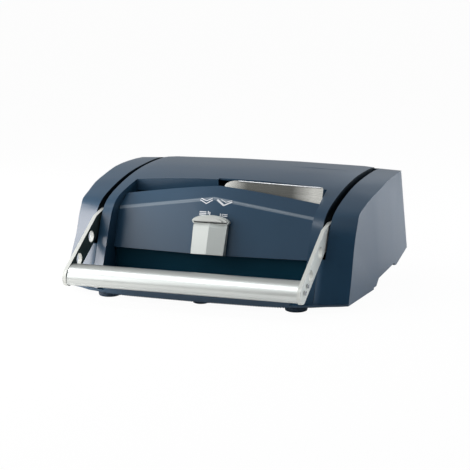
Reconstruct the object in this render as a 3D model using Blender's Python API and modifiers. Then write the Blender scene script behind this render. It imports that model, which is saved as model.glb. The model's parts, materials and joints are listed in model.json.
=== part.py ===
"""Lever-operated book binding press, modelled as separate pieces in metres, +Z up.

X runs across the press, Y runs from the front to the back and Z is the height over the floor.
Lengths are taken from a datum at the front of the housing's strips, and the whole press hangs
on one empty that puts the middle of its plan at the origin.
"""

import math

import bmesh
import bpy
from mathutils import Matrix, Vector

# General values
GAP = 0.0003
OVERRUN = 0.002
WELD_DISTANCE = 0.00001
BEVEL_ANGLE = math.radians(50)
BEVEL_STEPS = 2
ROUND_STEPS = 32
SMALL_ROUND_STEPS = 20

# Housing: overall sizes, measured from the front datum and the floor
HALF_WIDTH = 0.216
BODY_DEPTH = 0.322
BODY_HEIGHT = 0.168
WALL = 0.0026
SIDE_COVER_WIDTH = 0.048
GROOVE_WIDTH = 0.0095
GROOVE_BACK_INSET = 0.024
STRIP_WIDTH = 0.0155
POCKET_BACK_Y = 0.135
POCKET_STRAIGHT_Y = 0.080
POCKET_TAPER = 0.005
LIP_FALL = 0.032
OPEN_LIP_FALL = 0.0045
OPEN_LIP_LEFT_X = -0.0186
OPEN_LIP_END_INSET = 0.014
GROOVE_END_Z = 0.0705

# Upper outline of the housing, front bottom to back bottom, as shares of depth and height
STRIP_SHARES = (
    (0.009, 0.073), (0.075, 0.268), (0.120, 0.476), (0.155, 0.631), (0.177, 0.702),
    (0.211, 0.768), (0.280, 0.830), (0.419, 0.905), (0.543, 0.949), (0.668, 0.979),
    (0.823, 0.988), (0.932, 0.982), (0.957, 0.935), (1.0, 0.244),
)
GROOVE_SHARES = (
    (0.040, 0.073), (0.087, 0.268), (0.127, 0.476), (0.165, 0.631), (0.193, 0.708),
    (0.224, 0.756), (0.286, 0.810), (0.404, 0.875), (0.534, 0.926), (0.668, 0.955),
    (0.823, 0.973), (0.932, 0.967), (0.957, 0.926), (1.0, 0.244),
)
# The same for the side's edge, with the share of the half width in front: the side is a little barrelled
SIDE_SHARES = (
    (0.991, 0.096, 0.073), (0.991, 0.131, 0.268), (0.981, 0.183, 0.476), (0.981, 0.210, 0.613),
    (0.981, 0.239, 0.711), (0.981, 0.258, 0.762), (0.984, 0.320, 0.806), (0.994, 0.410, 0.862),
    (1.0, 0.516, 0.901), (1.0, 0.640, 0.944), (0.993, 0.780, 0.961), (0.977, 0.925, 0.960),
    (0.963, 0.957, 0.935), (0.995, 1.0, 0.244),
)
# Stretch of these outlines that is round, and how many steps each of its spans is drawn in
ROUND_STRETCH = (2, 11)
SPAN_STEPS = 2
# Points of the strip's outer edge that lie flush with the side cover, from the bottom
FLUSH_POINTS = 3
# Rise of the middle of the top over the strips, as a share of the height, for each outline point
CROWN_SHARES = (0, 0, 0, 0.028, 0.036, 0.041, 0.043, 0.041, 0.030, 0.018, 0.013, 0.012, 0.010, 0)
UNDERSIDE_SHARES = (
    (0.819, 0.146), (0.793, 0.152), (0.786, 0.173), (0.538, 0.129), (0.500, 0.073),
)
CROWN_STATION_SHARES = (-1.0, -0.66, -0.33, 0, 0.33, 0.66, 1.0)

# Base pan
FOOT_HEIGHT = 0.0087
PAN_FLOOR = 0.003
PAN_WALL = 0.003
PAN_LIP_HEIGHT = 0.015
PAN_LIP_COUNT = 4
PAN_SIDE_WALL_INSET = 0.031
PAN_BACK_INSET = 0.023
PAN_SIDE_END_RUN = 0.009
PAN_SIDE_INSET = 0.001
PAN_LEDGE_DEPTH = 0.017
SHELF_RISE = 0.002
SHELF_WALL = 0.0025
SHELF_STEP_BACK = 0.0004
SHELF_CLEARANCE = 0.0008
# Front edge of the pan, as shares of the half width and of the depth
PAN_FRONT_SHARES = (
    (0, -0.035), (0.23, -0.031), (0.46, -0.026), (0.648, -0.009), (0.773, 0.016), (0.861, 0.054),
    (0.932, 0.076), (0.987, 0.101),
)

# Feet
FRONT_FOOT_INSET = 0.0745
FRONT_FOOT_Y = 0.021
FRONT_FOOT_RADIUS = 0.0158
MIDDLE_FOOT_RADIUS = 0.0120
REAR_FOOT_INSET = 0.066
REAR_FOOT_BACK_INSET = 0.047
FOOT_BEVEL = 0.0028

# Front panel: points of its face, at its ends and at its middle ridge
PANEL_END_BOTTOM = (0.0600, 0.0635)
PANEL_END_CREASE = (0.0805, 0.1185)
PANEL_END_TOP = (0.1030, 0.1360)
PANEL_MIDDLE_BOTTOM = (0.0520, 0.0625)
PANEL_MIDDLE_CREASE = (0.0717, 0.1413)
PANEL_MIDDLE_TOP = (0.0940, 0.1560)
PANEL_WALL = 0.0026
PANEL_STATION_SHARES = (-1.0, -0.75, -0.5, -0.25, 0, 0.25, 0.5, 0.75, 1.0)
PANEL_CURVE = 1.2
PANEL_GABLE = 1.0
FASCIA_Y = 0.0665
FASCIA_WALL = 0.0025
FASCIA_TOP_Z = 0.0715

# Frames and the parts between them
FRAME_INSET = 0.011
FRAME_THICKNESS = 0.003
FRAME_FRONT_Y = 0.100
FRAME_BACK_INSET = 0.037
FRAME_FRONT_TOP_Z = 0.127
FRAME_BACK_TOP_Z = 0.118
FRAME_SHOULDER_RUN = 0.098
FRAME_FOLD_RUN = 0.043
JAW_FACE_Y = 0.117
JAW_THICKNESS = 0.012
JAW_TOP_Z = 0.124
JAW_REST_OPENING = 0.008
MOVING_JAW_INSET = 0.007
FIXED_JAW_BOTTOM_Z = 0.078
BED_TOP_Z = 0.101
BED_THICKNESS = 0.003
GUIDE_ROD_INSET = 0.037
GUIDE_ROD_Z = 0.088
GUIDE_ROD_RADIUS = 0.005
GUIDE_ROD_SEAT = 0.006
LUG_HALF = 0.012
LUG_DEPTH = 0.012
REAR_BEAM_RUN = 0.052
REAR_BEAM_THICKNESS = 0.010
REAR_BEAM_BOTTOM_Z = 0.076
REAR_BEAM_TOP_Z = 0.100

# Cross shaft with its pinions, and the racks that they push
PIVOT_INSET = 0.064
PIVOT_Z = 0.096
SHAFT_RADIUS = 0.006
BUSH_WALL = 0.0024
BUSH_FLANGE_RADIUS = 0.0115
BUSH_FLANGE = 0.0015
SPACER_RADIUS = 0.009
GEAR_MODULE = 0.002
PINION_TEETH = 16
PINION_X = 0.060
PINION_WIDTH = 0.012
RACK_WIDTH = 0.010
RACK_BACK = 0.0075
RACK_BEHIND_COUNT = 2
RACK_AHEAD_COUNT = 5
BACKLASH = 0.0004
PRESSURE_ANGLE = math.radians(20)
RACK_ADDENDUM_SHARE = 0.9
DEDENDUM_SHARE = 1.25
FLANK_STEPS = 4
SHAFT_HOLE_RADIUS = 0.012

# Handle: a bar between two cranked arms
ARM_CLEARANCE = 0.002
ARM_THICKNESS = 0.0055
ARM_WIDTH = 0.026
ARM_SLOPE = math.radians(32.5)
ARM_END_SHIFT = 0.0054
ARM_HUB_RADIUS = 0.016
ARM_BEND_Y = 0.041
ARM_SHOULDER_Y = 0.068
ARM_SHOULDER_RISE = 0.0055
ARM_HOLE_RADIUS = 0.0083
ARM_HOLE_DISTANCES = (0.0316, 0.0786)
BAR_CENTRE_Y = -0.0442
BAR_CENTRE_Z = 0.0411
BAR_HALF_LONG = 0.018
BAR_HALF_SHORT = 0.0125
BAR_SCREW_PLACES = (0.0125, -0.001)
BAR_SCREW_DEPTH = 0.012
BAR_BORE_PLACES = (0.0056, -0.0085)
BAR_BORE_RADII = (0.0034, 0.0045)
SCREW_HEAD_RADIUS = 0.0033
SCREW_HEAD_HEIGHT = 0.0018
SCREW_SHANK_RADIUS = 0.002
HUB_SCREW_RADIUS = 0.009
HUB_SCREW_HEIGHT = 0.0022
HUB_SCREW_CLEARANCE = 0.0015

# Selector knob and the slide that it moves
KNOB_CENTRE_Z = 0.093
KNOB_HUB_RADIUS = 0.012
COLLAR_HALF_WIDTH = 0.0285
COLLAR_HALF_HEIGHT = 0.0095
COLLAR_RISE = 0.0155
COLLAR_HEIGHT = 0.0065
KNOB_BEVEL = 0.002
GRIP_TOP = 0.014
GRIP_BOTTOM = 0.0315
GRIP_TOP_HALF = 0.0255
GRIP_BOTTOM_HALF = 0.0245
GRIP_TOP_EDGE_HEIGHT = 0.0035
GRIP_TOP_RIDGE_HEIGHT = 0.0080
GRIP_SHOULDER = 0.0075
GRIP_SHOULDER_EDGE_HEIGHT = 0.0064
GRIP_SHOULDER_RIDGE_HEIGHT = 0.0106
GRIP_BOTTOM_EDGE_HEIGHT = 0.0105
GRIP_BOTTOM_RIDGE_HEIGHT = 0.0145
KNOB_SHAFT_RADIUS = 0.004
KNOB_SHAFT_LENGTH = 0.024
CRANK_THROW = 0.016
CRANK_THICKNESS = 0.003
CRANK_HUB_RADIUS = 0.008
CRANK_END_RADIUS = 0.005
CRANK_PIN_RADIUS = 0.0025
CRANK_PIN_LENGTH = 0.0085
SLIDE_FRONT_Y = 0.086
SLIDE_THICKNESS = 0.003
SLIDE_HALF = 0.060
SLIDE_BOTTOM_Z = 0.058
SLIDE_TOP_Z = 0.080
SLIDE_SLOT_BOTTOM_Z = 0.0635
SLIDE_SLOT_TOP_Z = 0.0765
SLIDE_SLOT_CLEARANCE = 0.0006
GUIDE_INSET = 0.030
GUIDE_WIDTH = 0.016
GUIDE_RISE = 0.004
GUIDE_LEDGE = 0.004

# Metal plate at the front of the slot
PLATE_LEFT_X = 0.0
PLATE_END_CLEARANCE = 0.004
PLATE_THICKNESS = 0.002
PLATE_RISE = 0.0365
PLATE_FALL = 0.003
PLATE_FRONT_Y = 0.1065
PLATE_LEAN = math.radians(12.3)
PLATE_FOOT_DEPTH = 0.007
PLATE_CORNER = 0.003
PLATE_SWEEP = 0.021
PLATE_SWEEP_HEIGHT = 0.0095
PLATE_CORNER_STEPS = 6

# Worked out from the values above
PAN_UNDER_Z = FOOT_HEIGHT + GAP
PAN_TOP_Z = PAN_UNDER_Z + PAN_FLOOR
HOUSING_BOTTOM_Z = PAN_TOP_Z + GAP
GROOVE_INNER_X = HALF_WIDTH - SIDE_COVER_WIDTH
GROOVE_OUTER_X = GROOVE_INNER_X + GROOVE_WIDTH
GROOVE_BACK_Y = BODY_DEPTH - GROOVE_BACK_INSET
STRIP_INNER_X = GROOVE_INNER_X - STRIP_WIDTH
LIP_BOTTOM_Z = BODY_HEIGHT - LIP_FALL
OPEN_LIP_BOTTOM_Z = BODY_HEIGHT - OPEN_LIP_FALL
PAN_BACK_HALF = HALF_WIDTH - PAN_SIDE_WALL_INSET
PAN_BACK_Y = BODY_DEPTH - PAN_BACK_INSET
PAN_SIDE_END_Y = UNDERSIDE_SHARES[-1][0] * BODY_DEPTH - PAN_SIDE_END_RUN
FRONT_FOOT_X = HALF_WIDTH - FRONT_FOOT_INSET
REAR_FOOT_X = HALF_WIDTH - REAR_FOOT_INSET
REAR_FOOT_Y = BODY_DEPTH - REAR_FOOT_BACK_INSET
PIVOT_Y = BODY_DEPTH - PIVOT_INSET
FRAME_INNER_X = GROOVE_INNER_X - FRAME_INSET
FRAME_BACK_Y = BODY_DEPTH - FRAME_BACK_INSET
FRAME_SHOULDER_Y = PIVOT_Y - FRAME_SHOULDER_RUN
FRAME_FOLD_Y = PIVOT_Y - FRAME_FOLD_RUN
REAR_BEAM_Y = PIVOT_Y - REAR_BEAM_RUN
MOVING_JAW_HALF = FRAME_INNER_X - MOVING_JAW_INSET
GUIDE_ROD_X = FRAME_INNER_X - GUIDE_ROD_INSET
ARM_INNER_X = GROOVE_INNER_X + ARM_CLEARANCE
PLATE_RIGHT_X = STRIP_INNER_X - PLATE_END_CLEARANCE
GUIDE_X = SLIDE_HALF - GUIDE_INSET
PLATE_TOP_Z = JAW_TOP_Z + PLATE_RISE
BACK_BOTTOM_Z = STRIP_SHARES[-1][1] * BODY_HEIGHT
MOVING_JAW_Y = JAW_FACE_Y + JAW_REST_OPENING
LUG_Y = MOVING_JAW_Y + JAW_THICKNESS
PITCH_RADIUS = GEAR_MODULE * PINION_TEETH / 2
RACK_PITCH = math.pi * GEAR_MODULE
RACK_PITCH_Z = PIVOT_Z + PITCH_RADIUS
RACK_ROOT_Z = RACK_PITCH_Z + DEDENDUM_SHARE * GEAR_MODULE
RACK_TIP_Z = RACK_PITCH_Z - RACK_ADDENDUM_SHARE * GEAR_MODULE
RACK_TOP_Z = RACK_ROOT_Z + RACK_BACK
ARM_END_Y = BAR_CENTRE_Y - ARM_END_SHIFT * math.cos(ARM_SLOPE) - ARM_WIDTH / 2
PLAN_MIDDLE_Y = (ARM_END_Y + BODY_DEPTH) / 2

MATERIALS = {
    "navy_plastic": ((0.075, 0.115, 0.155), 0.42, 0.0),
    "dark_plastic": ((0.012, 0.022, 0.034), 0.5, 0.0),
    "foot_rubber": ((0.045, 0.062, 0.078), 0.8, 0.0),
    "satin_aluminium": ((0.72, 0.73, 0.72), 0.3, 1.0),
    "plate_steel": ((0.50, 0.51, 0.49), 0.35, 1.0),
    "knob_grey": ((0.62, 0.66, 0.65), 0.4, 0.35),
    "black_steel": ((0.10, 0.10, 0.11), 0.5, 0.8),
    "bright_steel": ((0.60, 0.60, 0.61), 0.25, 1.0),
    "bronze": ((0.55, 0.38, 0.20), 0.4, 1.0),
}


def clear_scene():
    """Removes what the file starts with."""
    for obj in list(bpy.data.objects):
        bpy.data.objects.remove(obj, do_unlink=True)


def new_collection(name):
    """Returns a new collection, linked to the scene."""
    collection = bpy.data.collections.new(name)
    bpy.context.scene.collection.children.link(collection)
    return collection


def new_material(name):
    """Returns the Principled material of that name, made on its first use."""
    if name in bpy.data.materials:
        return bpy.data.materials[name]
    colour, roughness, metallic = MATERIALS[name]
    material = bpy.data.materials.new(name)
    material.use_nodes = True
    shader = material.node_tree.nodes["Principled BSDF"]
    shader.inputs["Base Color"].default_value = (*colour, 1.0)
    shader.inputs["Roughness"].default_value = roughness
    shader.inputs["Metallic"].default_value = metallic
    return material


clear_scene()
PARTS = new_collection("book_binding_press")
CUTTERS = new_collection("cutters")


def new_empty(name, location=(0, 0, 0), rotation=(0, 0, 0), parent=None):
    """Returns an empty that carries the pieces of one joint."""
    empty = bpy.data.objects.new(name, None)
    empty.location = location
    empty.rotation_euler = rotation
    empty.parent = parent
    PARTS.objects.link(empty)
    return empty


PRESS = new_empty("press", (0, -PLAN_MIDDLE_Y, 0))
HANDLE_AXIS = new_empty("handle_axis", (0, PIVOT_Y, PIVOT_Z), parent=PRESS)


def add_object(name, mesh, material=None, parent=PRESS, location=(0, 0, 0), rotation=(0, 0, 0)):
    """Returns a new object: a part where it has a material, and a hidden cutter where it has none."""
    obj = bpy.data.objects.new(name, mesh)
    obj.parent = parent
    obj.location = location
    obj.rotation_euler = rotation
    if material:
        mesh.materials.append(new_material(material))
        PARTS.objects.link(obj)
    else:
        CUTTERS.objects.link(obj)
        obj.hide_render = True
        obj.display_type = "WIRE"
    return obj


def mesh_of(shape, name):
    """Returns the mesh of a bmesh and frees it, with its faces turned outwards."""
    bmesh.ops.recalc_face_normals(shape, faces=shape.faces)
    mesh = bpy.data.meshes.new(name)
    shape.to_mesh(mesh)
    shape.free()
    return mesh


def block(name, low, high, material=None, parent=PRESS):
    """Returns a box between two corners, with its origin in its middle."""
    low, high = Vector(low), Vector(high)
    shape = bmesh.new()
    bmesh.ops.create_cube(shape, size=1, matrix=Matrix.Diagonal((*(high - low), 1)))
    return add_object(name, mesh_of(shape, name), material, parent, (low + high) / 2)


def cylinder(name, radius, length, material=None, parent=PRESS, location=(0, 0, 0), rotation=(0, 0, 0),
             steps=ROUND_STEPS):
    """Returns a cylinder along its local Z, with its origin in the middle of its axis."""
    shape = bmesh.new()
    bmesh.ops.create_cone(
        shape, cap_ends=True, segments=steps, radius1=radius, radius2=radius, depth=length
    )
    obj = add_object(name, mesh_of(shape, name), material, parent, location, rotation)
    shade_round(obj)
    return obj


def shade_round(obj):
    """Smooths the round faces of an object and leaves its flat ends flat."""
    for face in obj.data.polygons:
        face.use_smooth = len(face.vertices) == 4


ALONG_X = (0, math.pi / 2, 0)
ALONG_Y = (math.pi / 2, 0, 0)


def loft(name, sections, material=None, parent=PRESS):
    """Returns a closed solid through sections that have the same number of points."""
    shape = bmesh.new()
    rings = [[shape.verts.new(point) for point in section] for section in sections]
    count = len(rings[0])
    for near, far in zip(rings, rings[1:]):
        for index in range(count):
            after = (index + 1) % count
            shape.faces.new((near[index], near[after], far[after], far[index]))
    shape.faces.new(rings[0])
    shape.faces.new(reversed(rings[-1]))
    bmesh.ops.recalc_face_normals(shape, faces=shape.faces)
    bmesh.ops.triangulate(shape, faces=shape.faces)
    return add_object(name, mesh_of(shape, name), material, parent)


def circle(radius, centre=(0, 0), steps=ROUND_STEPS, turn=0):
    """Returns the points of a circle."""
    angles = [turn + 2 * math.pi * index / steps for index in range(steps)]
    return [(centre[0] + radius * math.cos(a), centre[1] + radius * math.sin(a)) for a in angles]


def arc(centre, radius, start, end, steps):
    """Returns the points of an arc between two angles, both ends included."""
    angles = [start + (end - start) * index / steps for index in range(steps + 1)]
    return [(centre[0] + radius * math.cos(a), centre[1] + radius * math.sin(a)) for a in angles]


def ellipse(half_long, half_short, turn, steps=ROUND_STEPS):
    """Returns the points of an ellipse whose long axis is turned up by an angle."""
    along = Vector((math.cos(turn), math.sin(turn)))
    across = Vector((-math.sin(turn), math.cos(turn)))
    angles = [2 * math.pi * index / steps for index in range(steps)]
    return [tuple(along * half_long * math.cos(a) + across * half_short * math.sin(a)) for a in angles]


def outline_plate(name, outlines, thickness, material=None, parent=PRESS, location=(0, 0, 0),
                  rotation=(0, 0, 0)):
    """Returns a flat piece from closed outlines, the first around the others, as a welded mesh."""
    curve = bpy.data.curves.new(name, "CURVE")
    curve.dimensions = "2D"
    curve.fill_mode = "BOTH"
    curve.extrude = thickness / 2
    for outline in outlines:
        spline = curve.splines.new("POLY")
        spline.points.add(len(outline) - 1)
        for point, place in zip(spline.points, outline):
            point.co = (*place, 0, 1)
        spline.use_cyclic_u = True
    drawn = bpy.data.objects.new(name + "_outline", curve)
    CUTTERS.objects.link(drawn)
    graph = bpy.context.evaluated_depsgraph_get()
    flat = bpy.data.meshes.new_from_object(drawn.evaluated_get(graph))
    bpy.data.objects.remove(drawn, do_unlink=True)
    shape = bmesh.new()
    shape.from_mesh(flat)
    bmesh.ops.remove_doubles(shape, verts=shape.verts, dist=WELD_DISTANCE)
    return add_object(name, mesh_of(shape, name), material, parent, location, rotation)


# Turns an outline drawn in Y and Z so that it stands across the press, thick along X
ACROSS = (math.pi / 2, 0, math.pi / 2)


def boolean(obj, cutter, operation="DIFFERENCE"):
    """Adds a Boolean modifier."""
    modifier = obj.modifiers.new(operation.lower(), "BOOLEAN")
    modifier.operation = operation
    modifier.object = cutter
    modifier.solver = "EXACT"
    return obj


def bevel(obj, width):
    """Adds a Bevel modifier to the sharp edges."""
    modifier = obj.modifiers.new("bevel", "BEVEL")
    modifier.width = width
    modifier.segments = BEVEL_STEPS
    modifier.limit_method = "ANGLE"
    modifier.angle_limit = BEVEL_ANGLE
    return obj


def smoothed(points):
    """Returns an outline with its round stretch drawn as a curve through its points."""
    first, last = ROUND_STRETCH
    rounded = list(points[: first + 1])
    for index in range(first, last):
        before, near, far, after = (Vector(point) for point in points[index - 1:index + 3])
        for step in range(1, SPAN_STEPS + 1):
            t = step / SPAN_STEPS
            bend = (far - before) * t + (2 * before - 5 * near + 4 * far - after) * t ** 2
            bend += (3 * near - before - 3 * far + after) * t ** 3
            rounded.append(tuple(near + bend / 2))
    return rounded + list(points[last + 1:])


def sized(shares):
    """Returns an outline of the housing in metres, standing on the pan at its front."""
    points = [(y * BODY_DEPTH, z * BODY_HEIGHT) for y, z in shares]
    points[0] = (points[0][0], HOUSING_BOTTOM_Z)
    return points


def side_outline():
    """Returns the edge of the housing's side in metres, as distance out, depth and height."""
    points = [(x * HALF_WIDTH, y * BODY_DEPTH, z * BODY_HEIGHT) for x, y, z in SIDE_SHARES]
    points[0] = (*points[0][:2], HOUSING_BOTTOM_Z)
    return smoothed(points)


def inset(points, distance):
    """Returns an open outline moved inwards, its ends pushed on past the bottom."""
    moved = []
    for index, point in enumerate(points):
        normals = []
        for first, second in ((index - 1, index), (index, index + 1)):
            if first < 0 or second == len(points):
                continue
            step = Vector(points[second]) - Vector(points[first])
            normals.append(Vector((step.y, -step.x)).normalized())
        miter = sum(normals, Vector((0, 0)))
        miter = miter / (miter.length ** 2 / len(normals))
        moved.append(Vector(point) + miter * distance)
    front, back = moved[0], moved[-1]
    front_tail = (front.x, -OVERRUN)
    back_tail = (back.x, -OVERRUN)
    return [front_tail] + [tuple(point) for point in moved[1:-1]] + [tuple(back), back_tail]


def crowned(points, share):
    """Returns the strip's outline raised to the crown, at a share of the way out from the middle."""
    rise = 1 - share * share
    return [(y, z + rise * crown * BODY_HEIGHT) for (y, z), crown in zip(points, CROWN_SHARES)]


def pocket_half(y):
    """Returns half the width of the front pocket at a depth."""
    taper = max(0, (y - POCKET_STRAIGHT_Y) / (POCKET_BACK_Y - POCKET_STRAIGHT_Y))
    return STRIP_INNER_X - taper * POCKET_TAPER


def build_side_cover(name, side):
    """Builds a hollow side cover, with the short wall that closes the groove's lower end."""
    groove = smoothed(sized(GROOVE_SHARES))
    flank = side_outline()
    under = [(y * BODY_DEPTH, z * BODY_HEIGHT) for y, z in UNDERSIDE_SHARES]
    under[-1] = (under[-1][0], HOUSING_BOTTOM_Z)
    under_x = flank[-1][0]
    inner_edge = GROOVE_INNER_X + GAP
    cover = loft(
        name,
        [
            [(side * inner_edge, y, z) for y, z in groove + under],
            [(side * GROOVE_OUTER_X, y, z) for y, z in groove + under],
            [(side * x, y, z) for x, y, z in flank + [(under_x, *point) for point in under]],
        ],
        "navy_plastic",
    )
    inner_groove = inset(groove, WALL)
    inner_flank = inset([point[1:] for point in flank], WALL)
    flank_x = [point[0] for point in flank] + [under_x]
    cavity = loft(
        name + "_cavity",
        [
            [(side * (GROOVE_OUTER_X + WALL), y, z) for y, z in inner_groove],
            [(side * (x - WALL), y, z) for x, (y, z) in zip(flank_x, inner_flank)],
        ],
    )
    channel_cut = block(
        name + "_groove",
        (side * (GROOVE_INNER_X - OVERRUN), -OVERRUN, GROOVE_END_Z),
        (side * GROOVE_OUTER_X, GROOVE_BACK_Y, BODY_HEIGHT + OVERRUN),
    )
    channel_room = loft(
        name + "_groove_room",
        [
            [(side * (GROOVE_INNER_X - OVERRUN), y, z) for y, z in inner_groove],
            [(side * GROOVE_OUTER_X, y, z) for y, z in inner_groove],
        ],
    )
    pan_room = block(
        name + "_pan_room",
        (side * (GROOVE_INNER_X - OVERRUN), PAN_BACK_Y - PAN_WALL - GAP, -OVERRUN),
        (side * (PAN_BACK_HALF + GAP), BODY_DEPTH + OVERRUN, BACK_BOTTOM_Z),
    )
    screw_room = cylinder(
        name + "_screw_room", HUB_SCREW_RADIUS + HUB_SCREW_CLEARANCE, 2 * (WALL + OVERRUN), None, PRESS,
        (side * GROOVE_OUTER_X, PIVOT_Y, PIVOT_Z), ALONG_X,
    )
    for cutter in (cavity, channel_cut, channel_room, pan_room, screw_room):
        boolean(cover, cutter)


def pocket_outline(widen):
    """Returns the plan of the front pocket, from in front of the housing to the cover's edge."""
    front_y = -BODY_DEPTH / 2
    half = STRIP_INNER_X + widen
    back_half = STRIP_INNER_X - POCKET_TAPER + widen
    back_y = POCKET_BACK_Y + widen
    right = [(half, front_y), (half, POCKET_STRAIGHT_Y), (back_half, back_y)]
    return right + [(-x, y) for x, y in reversed(right)]


def build_centre_cover():
    """Builds the crowned top cover with its two front strips, open over the pocket."""
    strip = sized(STRIP_SHARES)
    groove = sized(GROOVE_SHARES)
    edge = [((a[0] + b[0]) / 2, (a[1] + b[1]) / 2) for a, b in zip(strip, groove)]
    edge[:FLUSH_POINTS] = groove[:FLUSH_POINTS]
    floor_back_y = PAN_BACK_Y - PAN_WALL - GAP
    under = [(floor_back_y, BACK_BOTTOM_Z), (floor_back_y, HOUSING_BOTTOM_Z)]
    rows = [(share * STRIP_INNER_X, smoothed(crowned(strip, share))) for share in CROWN_STATION_SHARES]
    edge = smoothed(edge)

    def through(half):
        return [(-half, edge)] + rows + [(half, edge)]

    cover = loft(
        "centre_cover",
        [[(x, y, z) for y, z in points + under] for x, points in through(GROOVE_INNER_X)],
        "navy_plastic",
    )
    room = loft(
        "centre_cover_room",
        [[(x, y, z) for y, z in inset(points, WALL)] for x, points in through(GROOVE_INNER_X - WALL)],
    )
    through_height = 2 * (BODY_HEIGHT + OVERRUN)
    core = outline_plate("centre_cover_core", [pocket_outline(WALL)], through_height)
    boolean(room, core)
    pocket = outline_plate("centre_cover_pocket", [pocket_outline(0)], through_height)
    boolean(cover, room)
    boolean(cover, pocket)
    below_lip = block(
        "centre_cover_below_lip",
        (-STRIP_INNER_X + POCKET_TAPER, POCKET_BACK_Y - OVERRUN, -OVERRUN),
        (STRIP_INNER_X - POCKET_TAPER, POCKET_BACK_Y + WALL + OVERRUN, LIP_BOTTOM_Z),
    )
    boolean(cover, below_lip)
    # Behind the metal plate, and a little beyond its left end, the slot's back wall is only an edge
    beside_lip = block(
        "centre_cover_beside_lip",
        (OPEN_LIP_LEFT_X, POCKET_BACK_Y - OVERRUN, LIP_BOTTOM_Z - OVERRUN),
        (PLATE_RIGHT_X - OPEN_LIP_END_INSET, POCKET_BACK_Y + WALL + OVERRUN, OPEN_LIP_BOTTOM_Z),
    )
    boolean(cover, beside_lip)
    jaw_window = block(
        "centre_cover_jaw_window",
        (-FRAME_INNER_X, FRAME_FRONT_Y, -OVERRUN),
        (FRAME_INNER_X, POCKET_BACK_Y + WALL + OVERRUN, JAW_TOP_Z + OVERRUN),
    )
    boolean(cover, jaw_window)
    shaft_hole = cylinder(
        "centre_cover_shaft_hole", SHAFT_HOLE_RADIUS, 2 * GROOVE_OUTER_X, None, PRESS,
        (0, PIVOT_Y, PIVOT_Z), ALONG_X,
    )
    boolean(cover, shaft_hole)


def pan_front():
    """Returns the right half of the pan's front edge."""
    return [(x * HALF_WIDTH, y * BODY_DEPTH) for x, y in PAN_FRONT_SHARES]


def build_base_pan():
    """Builds the pan: a floor with a front lip, a rear wall and a shelf that closes the overhang."""
    front = pan_front()
    side_end = SIDE_SHARES[-1][0] * HALF_WIDTH - PAN_SIDE_INSET
    right = front + [(side_end, PAN_SIDE_END_Y), (PAN_BACK_HALF, PAN_SIDE_END_Y), (PAN_BACK_HALF, PAN_BACK_Y)]
    plan = right + [(-x, y) for x, y in reversed(right[1:])]
    middle_z = PAN_UNDER_Z + PAN_FLOOR / 2
    pan = outline_plate("base_pan", [plan], PAN_FLOOR, "navy_plastic", location=(0, 0, middle_z))
    lip_front = front[:PAN_LIP_COUNT]
    lip_back = [(x, y + PAN_WALL) for x, y in reversed(lip_front)]
    lip_plan = [(-x, y) for x, y in reversed(lip_front[1:])] + lip_front
    lip_plan += lip_back + [(-x, y) for x, y in reversed(lip_back[:-1])]
    lip_middle_z = PAN_UNDER_Z + PAN_LIP_HEIGHT / 2
    lip = outline_plate("base_pan_lip", [lip_plan], PAN_LIP_HEIGHT, location=(0, 0, lip_middle_z))
    rear_wall = block(
        "base_pan_rear_wall",
        (-PAN_BACK_HALF, PAN_BACK_Y - PAN_WALL, PAN_UNDER_Z),
        (PAN_BACK_HALF, PAN_BACK_Y, BACK_BOTTOM_Z - GAP),
    )
    ledge = block(
        "base_pan_ledge",
        (-PAN_BACK_HALF, PAN_BACK_Y - PAN_WALL, BACK_BOTTOM_Z - GAP - PAN_FLOOR),
        (PAN_BACK_HALF, PAN_BACK_Y + PAN_LEDGE_DEPTH, BACK_BOTTOM_Z - GAP),
    )
    for piece in (lip, rear_wall, ledge):
        boolean(pan, piece, "UNION")
    for side in (-1, 1):
        add_pan_side(pan, side)


def add_pan_side(pan, side):
    """Joins one side wall to the pan, and the shelf that closes the side cover from below."""
    riser_front = PAN_SIDE_END_Y - PAN_WALL
    back_y = PAN_BACK_Y + PAN_LEDGE_DEPTH
    ledge_z = BACK_BOTTOM_Z - GAP - PAN_FLOOR
    rising = [(y * BODY_DEPTH, z * BODY_HEIGHT + SHELF_RISE) for y, z in reversed(UNDERSIDE_SHARES[:-1])]
    riser_back = PAN_SIDE_END_Y - SHELF_STEP_BACK
    wall_z = PAN_UNDER_Z + PAN_FLOOR / 2
    lower = [(riser_back, rising[0][1])] + rising[1:] + [(back_y, ledge_z)]
    upper = [(riser_front, lower[0][1] + SHELF_WALL)] + [(y, z + SHELF_WALL) for y, z in lower[1:]]
    shelf_outline = [(riser_front, wall_z), (riser_back, wall_z)] + lower + upper[::-1]
    wall_front = riser_front + PAN_WALL / 2
    wall_back = PAN_BACK_Y - PAN_WALL / 2
    wall_low = wall_z - SHELF_STEP_BACK
    share = (wall_back - lower[-2][0]) / (back_y - lower[-2][0])
    wall_end = Vector(lower[-2]).lerp(Vector(lower[-1]), share)
    wall_top = [(wall_front, lower[0][1])] + lower[1:-1] + [wall_end]
    wall_outline = [(wall_back, wall_low), (wall_front, wall_low)]
    wall_outline += [(y, z + SHELF_WALL / 2) for y, z in wall_top]
    outer = SIDE_SHARES[0][0] * HALF_WIDTH - WALL - SHELF_CLEARANCE
    inner = PAN_BACK_HALF - PAN_WALL / 2
    shelf = outline_plate(
        "base_pan_shelf", [shelf_outline], outer - inner,
        location=(side * (outer + inner) / 2, 0, 0), rotation=ACROSS,
    )
    wall = outline_plate(
        "base_pan_side_wall", [wall_outline], PAN_WALL,
        location=(side * (inner - SHELF_STEP_BACK), 0, 0), rotation=ACROSS,
    )
    boolean(pan, shelf, "UNION")
    boolean(pan, wall, "UNION")


def build_foot(name, x, y, radius):
    """Builds a round rubber foot under the pan."""
    foot = cylinder(name, radius, FOOT_HEIGHT, "foot_rubber", PRESS, (x, y, FOOT_HEIGHT / 2))
    bevel(foot, FOOT_BEVEL)


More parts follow.
